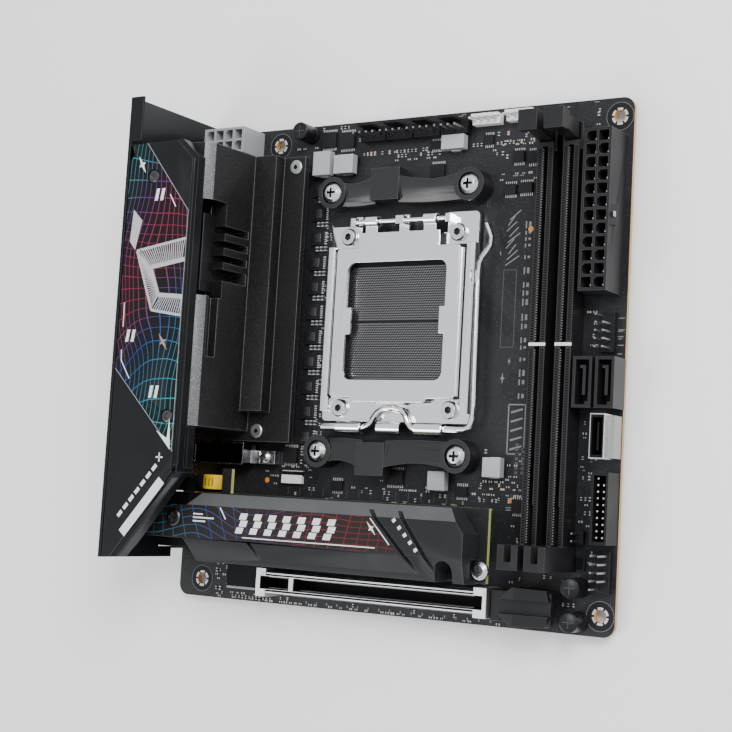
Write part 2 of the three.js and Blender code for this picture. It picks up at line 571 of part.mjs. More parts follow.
// drive heatsink: a faceted bar with a wing that reaches under the cover
const driveScrewPoints = [[16.6, 28.2], [130.9, 17.9]];
const driveSinkBottom = riserTop + driveSinkGap;
function driveHeatsink() {
  const profile = [[driveSinkStartY, driveSinkBottom], [driveSinkEndY, driveSinkBottom],
    [driveSinkEndY, driveSinkTop - 2.6], [32.8, driveSinkTop], [21, driveSinkTop],
    [driveSinkStartY, driveSinkTop - 2.2]];
  const bar = alongX(profile, 20.4, driveSinkEndX);
  const plan = prism([[26.4, driveSinkStartY - 1], [20.6, 21.4], [20.6, 32], [27, 38], [123.2, 38],
    [driveSinkEndX, 29.2], [driveSinkEndX, driveSinkStartY - 1]], 0, 40);
  const wing = prism([[3.2, 21.3], [22, 21.3], [22, 32.6], [12, 32.6]], driveSinkTop - 2, driveSinkTop);
  const grooves = [[94.6, 35, 22], [105.4, 35, 17], [47.4, 21.6, 7.6]].map(([x, endY, lean]) =>
    prism([[x, endY], [x + 1.7, endY], [x + 1.7 + lean, 12.6], [x + lean, 12.6]], driveSinkTop - 1.6, 40));
  const arch = join(block(119.6, 126, 10, 17.4, 0, 40), post(122.8, 17.4, 3.2, 0, 40, 16));
  const headRoom = post(driveScrewPoints[1][0], driveScrewPoints[1][1], 3.6, 0, driveSinkBottom + 4, 16);
  const wingBore = post(driveScrewPoints[0][0], driveScrewPoints[0][1], 1.7, 0, 40, 12);
  return cut(join(keep(bar, plan), wing), ...grooves, arch, headRoom, wingBore);
}
part('drive_heatsink', 'panelBlack', driveHeatsink());
part('drive_screw_1', 'blackMetal', cut(turned([[0, seat], [1.3, seat], [1.3, driveSinkTop + 0.05],
  [3.1, driveSinkTop + 0.05], [3.1, driveSinkTop + 0.9], [2.5, driveSinkTop + 1.3], [0, driveSinkTop + 1.3]],
...driveScrewPoints[0]), crossDrive(...driveScrewPoints[0], driveSinkTop + 0.6, 1.5)));
part('drive_screw_2', 'brightSteel', turned([[0, riserTop + 0.05], [2.9, riserTop + 0.05],
  [2.9, riserTop + 1], [1.8, riserTop + 2], [0, riserTop + 2]], ...driveScrewPoints[1]));

// expansion slot in its metal sleeve, and the latch past its end
const slotMiddleY = (slotStartY + slotEndY) / 2;
function expansionSlot() {
  const x0 = slotStartX;
  const x1 = slotEndX;
  const middle = block(x0 + 1, x1 - 1, slotStartY + 1, slotEndY - 1, seat, slotHeight);
  const ends = [[x0, x0 + 4], [x1 - 4.6, x1]].map(([a, b]) =>
    block(a, b, slotStartY, slotEndY, seat, slotHeight));
  const half = slotChannel / 2;
  const channels = [[x0 + 1.8, x0 + 13.8], [x0 + 15.6, x1 - 1.4]].map(([a, b]) =>
    block(a, b, slotMiddleY - half, slotMiddleY + half, 3, slotHeight + 1));
  const shoulders = [slotStartY + 1, slotEndY - 2.2].map((y) =>
    block(x0 + 4, x1 - 4.6, y - 0.2, y + 1.4, slotHeight - 0.8, slotHeight + 1));
  return cut(join(middle, ...ends), ...channels, ...shoulders);
}
part('expansion_slot', 'brightSteel', expansionSlot());
const latchPivotX = slotEndX + 3.2;
const latchEndX = latchPivotX + 17;
function expansionLatch() {
  const spine = alongY([[slotEndX + 0.6, 3.2], [latchPivotX, 1.2], [latchPivotX + 4, 1.2], [latchEndX - 0.4, 3.4],
    [latchEndX, 6.6], [latchPivotX + 4, 8.4], [slotEndX + 0.6, 9]], 2.6, 12.2);
  const cheeks = [-1, 1].map((side) => {
    const across = (offset) => slotMiddleY - 0.3 + side * offset;
    return prism([[latchPivotX + 0.4, across(2.2)], [latchPivotX + 5.4, across(6.1)], [latchEndX - 0.8, across(5.7)],
      [latchEndX, across(2.2)]], 3.4, 11);
  });
  const topFall = alongY([[latchPivotX, 0], [latchEndX + 1, 0], [latchEndX + 1, 8.4], [latchPivotX + 6, 11],
    [latchPivotX, 11]], 0, 15);
  return join(spine, keep(join(...cheeks), topFall));
}
part('expansion_latch', 'blackPlastic', expansionLatch());

// memory slots with a fixed tower at the near end and a swinging latch at the far end
const memoryPivotY = memorySlotEndY + 3.2;
const memoryPivotZ = 4;
const memoryFootRadius = 2.8;
memorySlotX.forEach((x, i) => {
  const half = memorySlotWidth / 2;
  const towerHalf = memoryTowerWidth / 2;
  const rails = block(x - half, x + half, memorySlotStartY, memorySlotEndY, seat, memorySlotHeight);
  const tower = block(x - towerHalf, x + towerHalf, memorySlotStartY, memorySlotStartY + 7.6, seat,
    memoryTowerHeight);
  const towerSlot = block(x - 1.2, x + 1.2, memorySlotStartY + 2.4, memorySlotStartY + 20, 4,
    memoryTowerHeight + 1);
  const groove = block(x - memoryGroove / 2, x + memoryGroove / 2, memorySlotStartY + 5, memorySlotEndY - 1.4,
    4, memorySlotHeight + 1);
  const key = block(x - half, x + half, memoryKeyY - 0.7, memoryKeyY + 0.7, seat, memorySlotHeight);
  const cheeks = [-1, 1].map((side) => {
    const edges = [x + side * (half - 0.2), x + side * (half + 0.7)];
    return block(Math.min(...edges), Math.max(...edges), memorySlotEndY - 3, memoryPivotY + memoryFootRadius, seat,
      memorySlotHeight - 1);
  });
  const body = cut(join(rails, tower), towerSlot, groove);
  part(`memory_slot_${i + 1}`, 'blackPlastic', join(body, key, ...cheeks));
  const latchHalf = half - 0.2 - runningGap;
  const foot = Array.from({ length: 9 }, (unused, n) => {
    const angle = Math.PI + (n / 8) * Math.PI;
    return [memoryPivotY + memoryFootRadius * Math.cos(angle), memoryPivotZ + memoryFootRadius * Math.sin(angle)];
  });
  const root = alongX([...foot, [memoryPivotY + memoryFootRadius, 10], [memoryPivotY + memoryFootRadius + 1, 22],
    [memoryPivotY - memoryFootRadius + 2, 22], [memoryPivotY - memoryFootRadius, 9]], x - latchHalf, x + latchHalf);
  const head = alongX([[memoryPivotY - 1.6, 17], [memoryPivotY + 3.6, 18], [memoryPivotY + 4.2, 23],
    [memoryPivotY - 2.5, 23], [memoryPivotY - 2.5, 20]], x - towerHalf + 0.2, x + towerHalf - 0.2);
  part(`memory_latch_${i + 1}`, 'blackPlastic', join(root, head));
});

// power connectors: blocks of cells, alternately square and with two cut corners
function powerCell(x, y, cornered) {
  const h = cellSize / 2;
  const c = cornered ? 1 : 0.05;
  return prism([[x - h, y - h + c], [x - h + c, y - h], [x + h, y - h], [x + h, y + h], [x - h + c, y + h],
    [x - h, y + h - c]], powerCellFloor, powerHeight + 1);
}
function powerConnector(x0, y0, columns, rows, catchTool) {
  const width = columns * cellPitch + 1;
  const length = rows * cellPitch + 1;
  const body = block(x0, x0 + width, y0, y0 + length, seat, powerHeight);
  const cells = [];
  for (let i = 0; i < columns; i += 1) {
    for (let j = 0; j < rows; j += 1) {
      cells.push(powerCell(x0 + 0.5 + (i + 0.5) * cellPitch, y0 + 0.5 + (j + 0.5) * cellPitch, (i + j) % 2 === 1));
    }
  }
  return join(cut(body, ...cells), catchTool(x0, y0, width, length));
}
part('main_power', 'blackPlastic', powerConnector(boardSize - 11.4, 106, 2, 12, (x0, y0, width, length) =>
  alongY([[x0 + width - 0.3, 8], [x0 + width + 1.3, 9], [x0 + width, powerHeight - 0.2],
    [x0 + width - 0.3, powerHeight - 0.2]], y0 + length / 2 - 5, y0 + length / 2 + 1.6)));
part('processor_power', 'greyPlastic', powerConnector(7.6, boardSize - 10.4, 4, 2, (x0, y0, width, length) =>
  alongX([[y0 + length - 0.3, 8], [y0 + length + 1.1, 9], [y0 + length, powerHeight - 0.2],
    [y0 + length - 0.3, powerHeight - 0.2]], x0 + width / 2 - 3, x0 + width / 2 + 5)));

// pin headers: a base with a grid of square pins; a keyed position is left empty
function pinHeader(x0, y0, columns, rows, pitch, baseHeight, pinHeight, empty) {
  const base = block(x0, x0 + columns * pitch, y0, y0 + rows * pitch, seat, baseHeight);
  const pins = [];
  for (let i = 0; i < columns; i += 1) {
    for (let j = 0; j < rows; j += 1) {
      if (!empty.some(([a, b]) => a === i && b === j)) {
        const x = x0 + (i + 0.5) * pitch;
        const y = y0 + (j + 0.5) * pitch;
        pins.push(block(x - 0.32, x + 0.32, y - 0.32, y + 0.32, 1, pinHeight));
      }
    }
  }
  return join(base, ...pins);
}
const pinPitch = 2.54;
const headerRowY = boardSize - 8;
for (let i = 0; i < 4; i += 1) {
  const x0 = 69.4 + i * 10.7;
  part(`fan_header_${i + 1}`, 'blackPlastic', join(
    pinHeader(x0, headerRowY, 4, 2, pinPitch, 3.4, 3.4, []),
    ...[0.5, 1.5, 2.5, 3.5].map((n) =>
      block(x0 + n * pinPitch - 0.32, x0 + n * pinPitch + 0.32, headerRowY + 1.2, headerRowY + 1.9, 3, 10.4)),
    block(x0 + 2, x0 + 8, headerRowY + 4, headerRowY + 5, 3, 10)));
}
function lightHeader(x0, y0, empty) {
  const keyWall = block(x0, x0 + 4 * pinPitch, y0 + pinPitch - 0.1, y0 + pinPitch + 0.9, seat, 4.6);
  return join(pinHeader(x0, y0, 4, 1, pinPitch, 3, 8, empty), keyWall);
}
part('light_header_1', 'whitePlastic', lightHeader(113.4, headerRowY + 2.4, []));
part('light_header_2', 'whitePlastic', lightHeader(126, headerRowY + 2.8, [[2, 0]]));
part('usb2_header', 'blackPlastic', pinHeader(boardSize - 8.2, 87.9, 2, 5, pinPitch, 2.5, 8.4, [[1, 4]]));
part('panel_header', 'blackPlastic', pinHeader(boardSize - 6.6, 13.4, 2, 5, pinPitch, 2.5, 8.4, [[1, 0]]));

// data ports standing upright, with a stepped mouth and a contact tongue
[boardSize - 13.6, boardSize - 6.1].forEach((x0, i) => {
  const body = block(x0, x0 + 6.4, 70, 86, seat, 9);
  const mouth = block(x0 + 1, x0 + 5.4, 72, 85, 2, 10);
  const notch = block(x0 + 1, x0 + 4.4, 71, 73, 2, 10);
  const tongue = block(x0 + 3, x0 + 4, 74, 83.4, 1, 8);
  const foot = block(x0 + 2, x0 + 4, 82.4, 83.4, 1, 8);
  part(`data_port_${i + 1}`, 'blackPlastic', join(cut(body, mouth, notch), tongue, foot));
});

// front-panel connector in a metal sleeve, and the boxed twenty-pin header
const frontX = boardSize - 7.1;
part('front_usb_port', 'brightSteel', join(
  cut(block(frontX, frontX + 5, 54.4, 68.4, seat, 9), block(frontX + 0.8, frontX + 4.2, 55.6, 67.2, 2, 10)),
  block(frontX + 2.1, frontX + 2.7, 57, 65.8, 1.6, 8), block(frontX + 4.7, frontX + 6.9, 54.8, 68, seat, 6)));
const boxedX = boardSize - 5.7;
const boxedPins = (x, count) => Array.from({ length: count }, (unused, i) =>
  block(x, x + 0.5, 30.2 + i * 2, 30.7 + i * 2, 1.6, 8));
part('usb3_header', 'blackPlastic', join(
  cut(block(boxedX, boxedX + 5.5, 28.3, 50.4, seat, 9), block(boxedX + 0.7, boxedX + 4.8, 29.2, 49.4, 2, 10)),
  ...boxedPins(boxedX + 1.6, 10), ...boxedPins(boxedX + 3.5, 9)));

// centre the object over its footprint and stand it on its lowest point
const bounds = new THREE.Box3().setFromObject(object);
object.position.set(-(bounds.min.x + bounds.max.x) / 2, -(bounds.min.y + bounds.max.y) / 2, underside);

export default object;
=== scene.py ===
import json
import math
import random
import bmesh
import bpy
from mathutils import Matrix, Vector


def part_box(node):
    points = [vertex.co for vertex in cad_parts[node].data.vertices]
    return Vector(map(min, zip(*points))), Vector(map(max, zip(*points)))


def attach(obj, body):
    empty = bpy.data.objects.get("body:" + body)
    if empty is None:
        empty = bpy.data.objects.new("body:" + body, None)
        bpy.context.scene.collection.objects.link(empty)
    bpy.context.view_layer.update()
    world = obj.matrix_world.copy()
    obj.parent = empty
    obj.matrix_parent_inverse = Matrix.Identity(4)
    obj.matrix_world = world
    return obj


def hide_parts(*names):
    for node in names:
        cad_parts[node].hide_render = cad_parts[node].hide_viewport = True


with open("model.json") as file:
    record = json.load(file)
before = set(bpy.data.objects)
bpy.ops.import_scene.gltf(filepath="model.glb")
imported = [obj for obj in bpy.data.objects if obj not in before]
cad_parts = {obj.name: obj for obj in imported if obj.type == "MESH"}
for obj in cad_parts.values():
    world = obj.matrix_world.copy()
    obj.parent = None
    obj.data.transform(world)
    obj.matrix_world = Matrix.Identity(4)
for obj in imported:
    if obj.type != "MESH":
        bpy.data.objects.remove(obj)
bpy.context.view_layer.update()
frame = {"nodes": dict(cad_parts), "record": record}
record = frame["record"]
bodyOfNode = {node: body for body, nodes in record["behaviour"]["bodies"].items() for node in nodes}
boardLow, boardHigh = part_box("circuit_board")
boardOrigin = Vector((boardLow[0], boardLow[1], boardHigh[2]))  # board corner, at its top face


def place(x, y, z):  # millimetres on the board, to metres in the model
    return boardOrigin + Vector((x, y, z)) * 0.001


print("frame loaded")

# camera
cameraView = {"spot": (352.2, 39.5, 439.6), "look": (-0.5255, 0.1047, -0.8443),
              "up": (0.0073, 0.9929, 0.1185),
              "lens": 74.49, "shiftX": -0.0150, "shiftY": -0.0413, "sensor": 36, "farthest": 20}


def makeCamera():
    look = Vector(cameraView["look"]).normalized()
    right = look.cross(Vector(cameraView["up"])).normalized()
    up = right.cross(look)
    data = bpy.data.cameras.new("camera")
    data.lens = cameraView["lens"]
    data.sensor_width = cameraView["sensor"]
    data.shift_x = cameraView["shiftX"]
    data.shift_y = cameraView["shiftY"]
    data.clip_end = cameraView["farthest"]
    camera = bpy.data.objects.new("camera", data)
    turn = Matrix((right, up, -look)).transposed().to_4x4()
    camera.matrix_world = Matrix.Translation(place(*cameraView["spot"])) @ turn
    bpy.context.scene.collection.objects.link(camera)
    bpy.context.scene.camera = camera


makeCamera()


# shader building
def addNode(tree, kind, inputs=None, **settings):
    node = tree.nodes.new(kind)
    for key, value in settings.items():
        setattr(node, key, value)
    for key, value in (inputs or {}).items():
        if isinstance(value, bpy.types.NodeSocket):
            tree.links.new(value, node.inputs[key])
        else:
            node.inputs[key].default_value = value
    return node


def mathNode(tree, operation, a, b=0.0, clamp=False):
    return addNode(tree, "ShaderNodeMath", {0: a, 1: b}, operation=operation, use_clamp=clamp).outputs[0]


def newGroup(name, inputs, outputs):
    tree = bpy.data.node_groups.new(name, "ShaderNodeTree")
    for label, kind, value in inputs:
        socket = tree.interface.new_socket(label, in_out="INPUT", socket_type=kind)
        socket.default_value = value
    for label, kind in outputs:
        tree.interface.new_socket(label, in_out="OUTPUT", socket_type=kind)
    return tree, tree.nodes.new("NodeGroupInput").outputs, tree.nodes.new("NodeGroupOutput").inputs


def buildGrain():  # moulded or cast skin: an uneven tone and a fine height
    tree, given, result = newGroup("surfaceGrain", [
        ("Coarse", "NodeSocketFloat", 60.0), ("Fine", "NodeSocketFloat", 2500.0),
        ("Low", "NodeSocketFloat", 0.4), ("High", "NodeSocketFloat", 0.6)],
        [("Tone", "NodeSocketFloat"), ("Spread", "NodeSocketFloat"), ("Height", "NodeSocketFloat")])
    coords = addNode(tree, "ShaderNodeTexCoord").outputs["Object"]
    coarse = addNode(tree, "ShaderNodeTexNoise", {"Vector": coords, "Scale": given["Coarse"], "Detail": 3.0})
    fine = addNode(tree, "ShaderNodeTexNoise", {"Vector": coords, "Scale": given["Fine"], "Detail": 2.0})
    spread = addNode(tree, "ShaderNodeMapRange",
                     {"Value": coarse.outputs[0], "From Min": 0.3, "From Max": 0.7,
                                                  "To Min": given["Low"], "To Max": given["High"]})
    tree.links.new(coarse.outputs[0], result["Tone"])
    tree.links.new(spread.outputs[0], result["Spread"])
    tree.links.new(fine.outputs[0], result["Height"])
    return tree


def buildEdgeHighlight():  # painted highlight: lighter edges, where a rounded normal leaves the flat one
    tree, given, result = newGroup("edgeHighlightMask", [("Reach", "NodeSocketFloat", 0.0003)],
                                   [("Mask", "NodeSocketFloat")])
    rounded = addNode(tree, "ShaderNodeBevel", {"Radius": given["Reach"]}, samples=4)
    flat = addNode(tree, "ShaderNodeNewGeometry").outputs["Normal"]
    agree = addNode(tree, "ShaderNodeVectorMath", {0: rounded.outputs[0], 1: flat}, operation="DOT_PRODUCT")
    highlightMask = addNode(tree, "ShaderNodeMapRange",
                  {"Value": agree.outputs["Value"], "From Min": 0.97, "From Max": 0.8})
    tree.links.new(highlightMask.outputs[0], result["Mask"])
    return tree


def buildBrushed():  # fine parallel drawing lines in one direction
    tree, given, result = newGroup("drawnLines", [
        ("Stretch", "NodeSocketVector", (40.0, 4000.0, 4000.0)), ("Low", "NodeSocketFloat", 0.2),
        ("High", "NodeSocketFloat", 0.35)], [("Spread", "NodeSocketFloat"), ("Height", "NodeSocketFloat")])
    coords = addNode(tree, "ShaderNodeTexCoord").outputs["Object"]
    scaled = addNode(tree, "ShaderNodeVectorMath", {0: coords, 1: given["Stretch"]}, operation="MULTIPLY")
    noise = addNode(tree, "ShaderNodeTexNoise", {"Vector": scaled.outputs[0], "Scale": 1.0, "Detail": 3.0})
    spread = addNode(tree, "ShaderNodeMapRange", {"Value": noise.outputs[0], "From Min": 0.3, "From Max": 0.7,
                                                  "To Min": given["Low"], "To Max": given["High"]})
    tree.links.new(spread.outputs[0], result["Spread"])
    tree.links.new(noise.outputs[0], result["Height"])
    return tree


def buildStripe():  # a line every so many millimetres along one value
    tree, given, result = newGroup("evenStripe", [
        ("Place", "NodeSocketFloat", 0.0), ("Pitch", "NodeSocketFloat", 1.0),
        ("Share", "NodeSocketFloat", 0.2)],
        [("Mask", "NodeSocketFloat")])
    turns = mathNode(tree, "DIVIDE", given["Place"], given["Pitch"])
    part = mathNode(tree, "FRACT", turns)
    folded = mathNode(tree, "ABSOLUTE", mathNode(tree, "SUBTRACT", part, 0.5))
    limit = mathNode(tree, "SUBTRACT", 0.5, mathNode(tree, "MULTIPLY", given["Share"], 0.5))
    tree.links.new(mathNode(tree, "GREATER_THAN", folded, limit), result["Mask"])
    return tree


grainGroup = buildGrain()
edgeHighlightGroup = buildEdgeHighlight()
brushedGroup = buildBrushed()
stripeGroup = buildStripe()


def useGroup(tree, group, **inputs):
    node = addNode(tree, "ShaderNodeGroup", node_tree=group)
    for key, value in inputs.items():
        socket = node.inputs[key]
        if isinstance(value, bpy.types.NodeSocket):
            tree.links.new(value, socket)
        else:
            socket.default_value = value
    return node.outputs


def newMaterial(name, **values):
    material = bpy.data.materials.new(name)
    material.use_nodes = True
    tree = material.node_tree
    shader = tree.nodes["Principled BSDF"]
    for key, value in values.items():
        shader.inputs[key.replace("_", " ")].default_value = value
    return material, tree, shader


def mixColour(tree, factor, first, second):
    node = addNode(tree, "ShaderNodeMix", data_type="RGBA")
    for socket, value in ((node.inputs[0], factor), (node.inputs[6], first), (node.inputs[7], second)):
        if isinstance(value, bpy.types.NodeSocket):
            tree.links.new(value, socket)
        elif isinstance(value, tuple):
            socket.default_value = (*value, 1.0) if len(value) == 3 else value
        else:
            socket.default_value = value
    return node.outputs[2]


def bumpFrom(tree, shader, height, strength, distance):
    bump = addNode(tree, "ShaderNodeBump", {"Height": height, "Strength": strength, "Distance": distance})
    tree.links.new(bump.outputs[0], shader.inputs["Normal"])


def mouldedPlastic(name, colour, low, high, bump=0.15, fine=2500.0, rubbed=None, **extra):
    material, tree, shader = newMaterial(name, **extra)
    grain = useGroup(tree, grainGroup, Coarse=90.0, Fine=fine, Low=low, High=high)
    dark = tuple(c * 0.82 for c in colour)
    light = tuple(c * 1.18 for c in colour)
    base = mixColour(tree, grain["Tone"], dark, light)
    # painted highlight: a lighter tone mixed onto the rounded edges
    if rubbed:
        base = mixColour(tree, useGroup(tree, edgeHighlightGroup, Reach=0.00028)["Mask"], base, rubbed)
    tree.links.new(base, shader.inputs["Base Color"])
    tree.links.new(grain["Spread"], shader.inputs["Roughness"])
    bumpFrom(tree, shader, grain["Height"], bump, 0.00008)
    return material


def drawnMetal(name, colour, low, high, stretch=(40.0, 4000.0, 4000.0), bump=0.06, **extra):
    material, tree, shader = newMaterial(name, Metallic=1.0, **extra)
    lines = useGroup(tree, brushedGroup, Stretch=stretch, Low=low, High=high)
    grain = useGroup(tree, grainGroup, Coarse=45.0, Fine=1200.0)
    base = mixColour(tree, grain["Tone"], tuple(c * 0.86 for c in colour), colour)
    tree.links.new(base, shader.inputs["Base Color"])
    tree.links.new(lines["Spread"], shader.inputs["Roughness"])
    bumpFrom(tree, shader, lines["Height"], bump, 0.00004)
    return material


def millimetres(tree):  # object coordinates in millimetres from the board's corner
    coords = addNode(tree, "ShaderNodeTexCoord").outputs["Object"]
    moved = addNode(tree, "ShaderNodeVectorMath", {0: coords, 1: tuple(boardOrigin)}, operation="SUBTRACT")
    scaled = addNode(tree, "ShaderNodeVectorMath", {0: moved.outputs[0], 3: 1000.0}, operation="SCALE")
    return scaled.outputs[0]


def upwardMask(tree, limit=0.5):
    normal = addNode(tree, "ShaderNodeNewGeometry").outputs["Normal"]
    parts = addNode(tree, "ShaderNodeSeparateXYZ", {0: normal})
    return mathNode(tree, "GREATER_THAN", mathNode(tree, "ABSOLUTE", parts.outputs[2]), limit)


maskLook = {"pour": (0.0125, 0.0127, 0.014), "trace": (0.022, 0.0225, 0.0245),
            "gap": (0.0095, 0.0095, 0.0105),
            "laminate": (0.42, 0.27, 0.09), "via": (0.03, 0.031, 0.033), "low": 0.3, "high": 0.42,
            "straightPitch": 0.62, "leaningPitch": 0.95, "gapWidth": 0.012, "viaSize": 0.11}


def solderMask(name, laminate):
    look = maskLook
    material, tree, shader = newMaterial(name, Specular_IOR_Level=0.25)
    place3 = millimetres(tree)
    parts = addNode(tree, "ShaderNodeSeparateXYZ", {0: place3})
    across, along = parts.outputs[0], parts.outputs[1]
    slant = mathNode(tree, "ADD", across, along)
    patch = addNode(tree, "ShaderNodeTexVoronoi", {"Vector": place3, "Scale": 0.055}, distance="CHEBYCHEV",
                    voronoi_dimensions="2D")
    choice = addNode(tree, "ShaderNodeSeparateColor", {0: patch.outputs["Color"]})
    straight = useGroup(tree, stripeGroup, Place=along, Pitch=look["straightPitch"], Share=0.42)["Mask"]
    leaning = useGroup(tree, stripeGroup, Place=slant, Pitch=look["leaningPitch"], Share=0.4)["Mask"]
    lines = addNode(tree, "ShaderNodeMix",
                    {0: mathNode(tree, "GREATER_THAN", choice.outputs[0], 0.5), 2: straight,
                                            3: leaning}).outputs[0]
    lined = mathNode(tree, "MULTIPLY", lines, mathNode(tree, "GREATER_THAN", choice.outputs[1], 0.45))
    pour = addNode(tree, "ShaderNodeTexVoronoi", {"Vector": place3, "Scale": 0.11}, distance="CHEBYCHEV",
                   voronoi_dimensions="2D", feature="DISTANCE_TO_EDGE")
    gap = mathNode(tree, "LESS_THAN", pour.outputs["Distance"], look["gapWidth"])
    dots = addNode(tree, "ShaderNodeTexVoronoi", {"Vector": place3, "Scale": 0.42}, voronoi_dimensions="2D")
    via = mathNode(tree, "LESS_THAN", dots.outputs["Distance"], look["viaSize"])
    grain = useGroup(tree, grainGroup, Coarse=30.0, Fine=5000.0, Low=look["low"], High=look["high"])
    base = mixColour(tree, lined, look["pour"], look["trace"])
    base = mixColour(tree, gap, base, look["gap"])
    base = mixColour(tree, via, base, look["via"])
    base = mixColour(tree, upwardMask(tree), laminate, base)
    tree.links.new(base, shader.inputs["Base Color"])
    tree.links.new(grain["Spread"], shader.inputs["Roughness"])
    height = mathNode(tree, "ADD", mathNode(tree, "MULTIPLY", lined, 0.5),
                      mathNode(tree, "MULTIPLY", via, 0.6))
    bumpFrom(tree, shader, height, 0.25, 0.00004)
    return material


filmLook = {"line": 0.05, "roughness": 0.34}


def printedFilm(name, ground, colours, travel, pitches, warp,
                strength=1.0):  # film with a bent grid of coloured lines
    material, tree, shader = newMaterial(name, Roughness=filmLook["roughness"], Specular_IOR_Level=0.2)
    place3 = millimetres(tree)
    swirl = addNode(tree, "ShaderNodeTexNoise", {"Vector": place3, "Scale": 0.03, "Detail": 0.0})
    centred = addNode(tree, "ShaderNodeVectorMath", {0: swirl.outputs["Color"], 1: (0.5, 0.5, 0.5)},
                      operation="SUBTRACT")
    pushed = addNode(tree, "ShaderNodeVectorMath", {0: centred.outputs[0], 3: warp * 10}, operation="SCALE")
    bent = addNode(tree, "ShaderNodeVectorMath", {0: place3, 1: pushed.outputs[0]}, operation="ADD")
    parts = addNode(tree, "ShaderNodeSeparateXYZ", {0: bent.outputs[0]})
    lines = [useGroup(tree, stripeGroup, Place=parts.outputs[i], Pitch=pitches[i],
                      Share=filmLook["line"] * 4.4 / pitches[i])
             for i in range(2)]
    either = mathNode(tree, "MAXIMUM", lines[0]["Mask"], lines[1]["Mask"])
    shown = mathNode(tree, "MULTIPLY", either, strength)
    low, high, direction = travel
    run = addNode(tree, "ShaderNodeVectorMath", {0: place3, 1: (*direction, 0.0)}, operation="DOT_PRODUCT")
    share = addNode(tree, "ShaderNodeMapRange",
                    {"Value": run.outputs["Value"], "From Min": low, "From Max": high})
    ramp = addNode(tree, "ShaderNodeValToRGB", {0: share.outputs[0]})
    while len(ramp.color_ramp.elements) < len(colours):
        ramp.color_ramp.elements.new(0.5)
    for i, colour in enumerate(colours):
        ramp.color_ramp.elements[i].position = i / (len(colours) - 1)
        ramp.color_ramp.elements[i].color = (*colour, 1)
    base = mixColour(tree, shown, ground, ramp.outputs[0])
    tree.links.new(base, shader.inputs["Base Color"])
    grain = useGroup(tree, grainGroup, Coarse=50.0, Fine=4000.0)
    bumpFrom(tree, shader, grain["Height"], 0.05, 0.00003)
    return material


def granularMetal(name, colour, light, edge, low, high, scale):  # blasted and anodised skin
    material, tree, shader = newMaterial(name, Metallic=0.35)
    grain = useGroup(tree, grainGroup, Coarse=40.0, Fine=scale, Low=low, High=high)
    speck = addNode(tree, "ShaderNodeMapRange",
                    {"Value": grain["Height"], "From Min": 0.52, "From Max": 0.68})
    base = mixColour(tree, speck.outputs[0], colour, light)
    # painted highlight: the edge colour is mixed onto the rounded edges
    base = mixColour(tree, useGroup(tree, edgeHighlightGroup, Reach=0.00045)["Mask"], base, edge)
    tree.links.new(base, shader.inputs["Base Color"])
    tree.links.new(grain["Spread"], shader.inputs["Roughness"])
    bumpFrom(tree, shader, grain["Height"], 0.35, 0.00012)
    return material


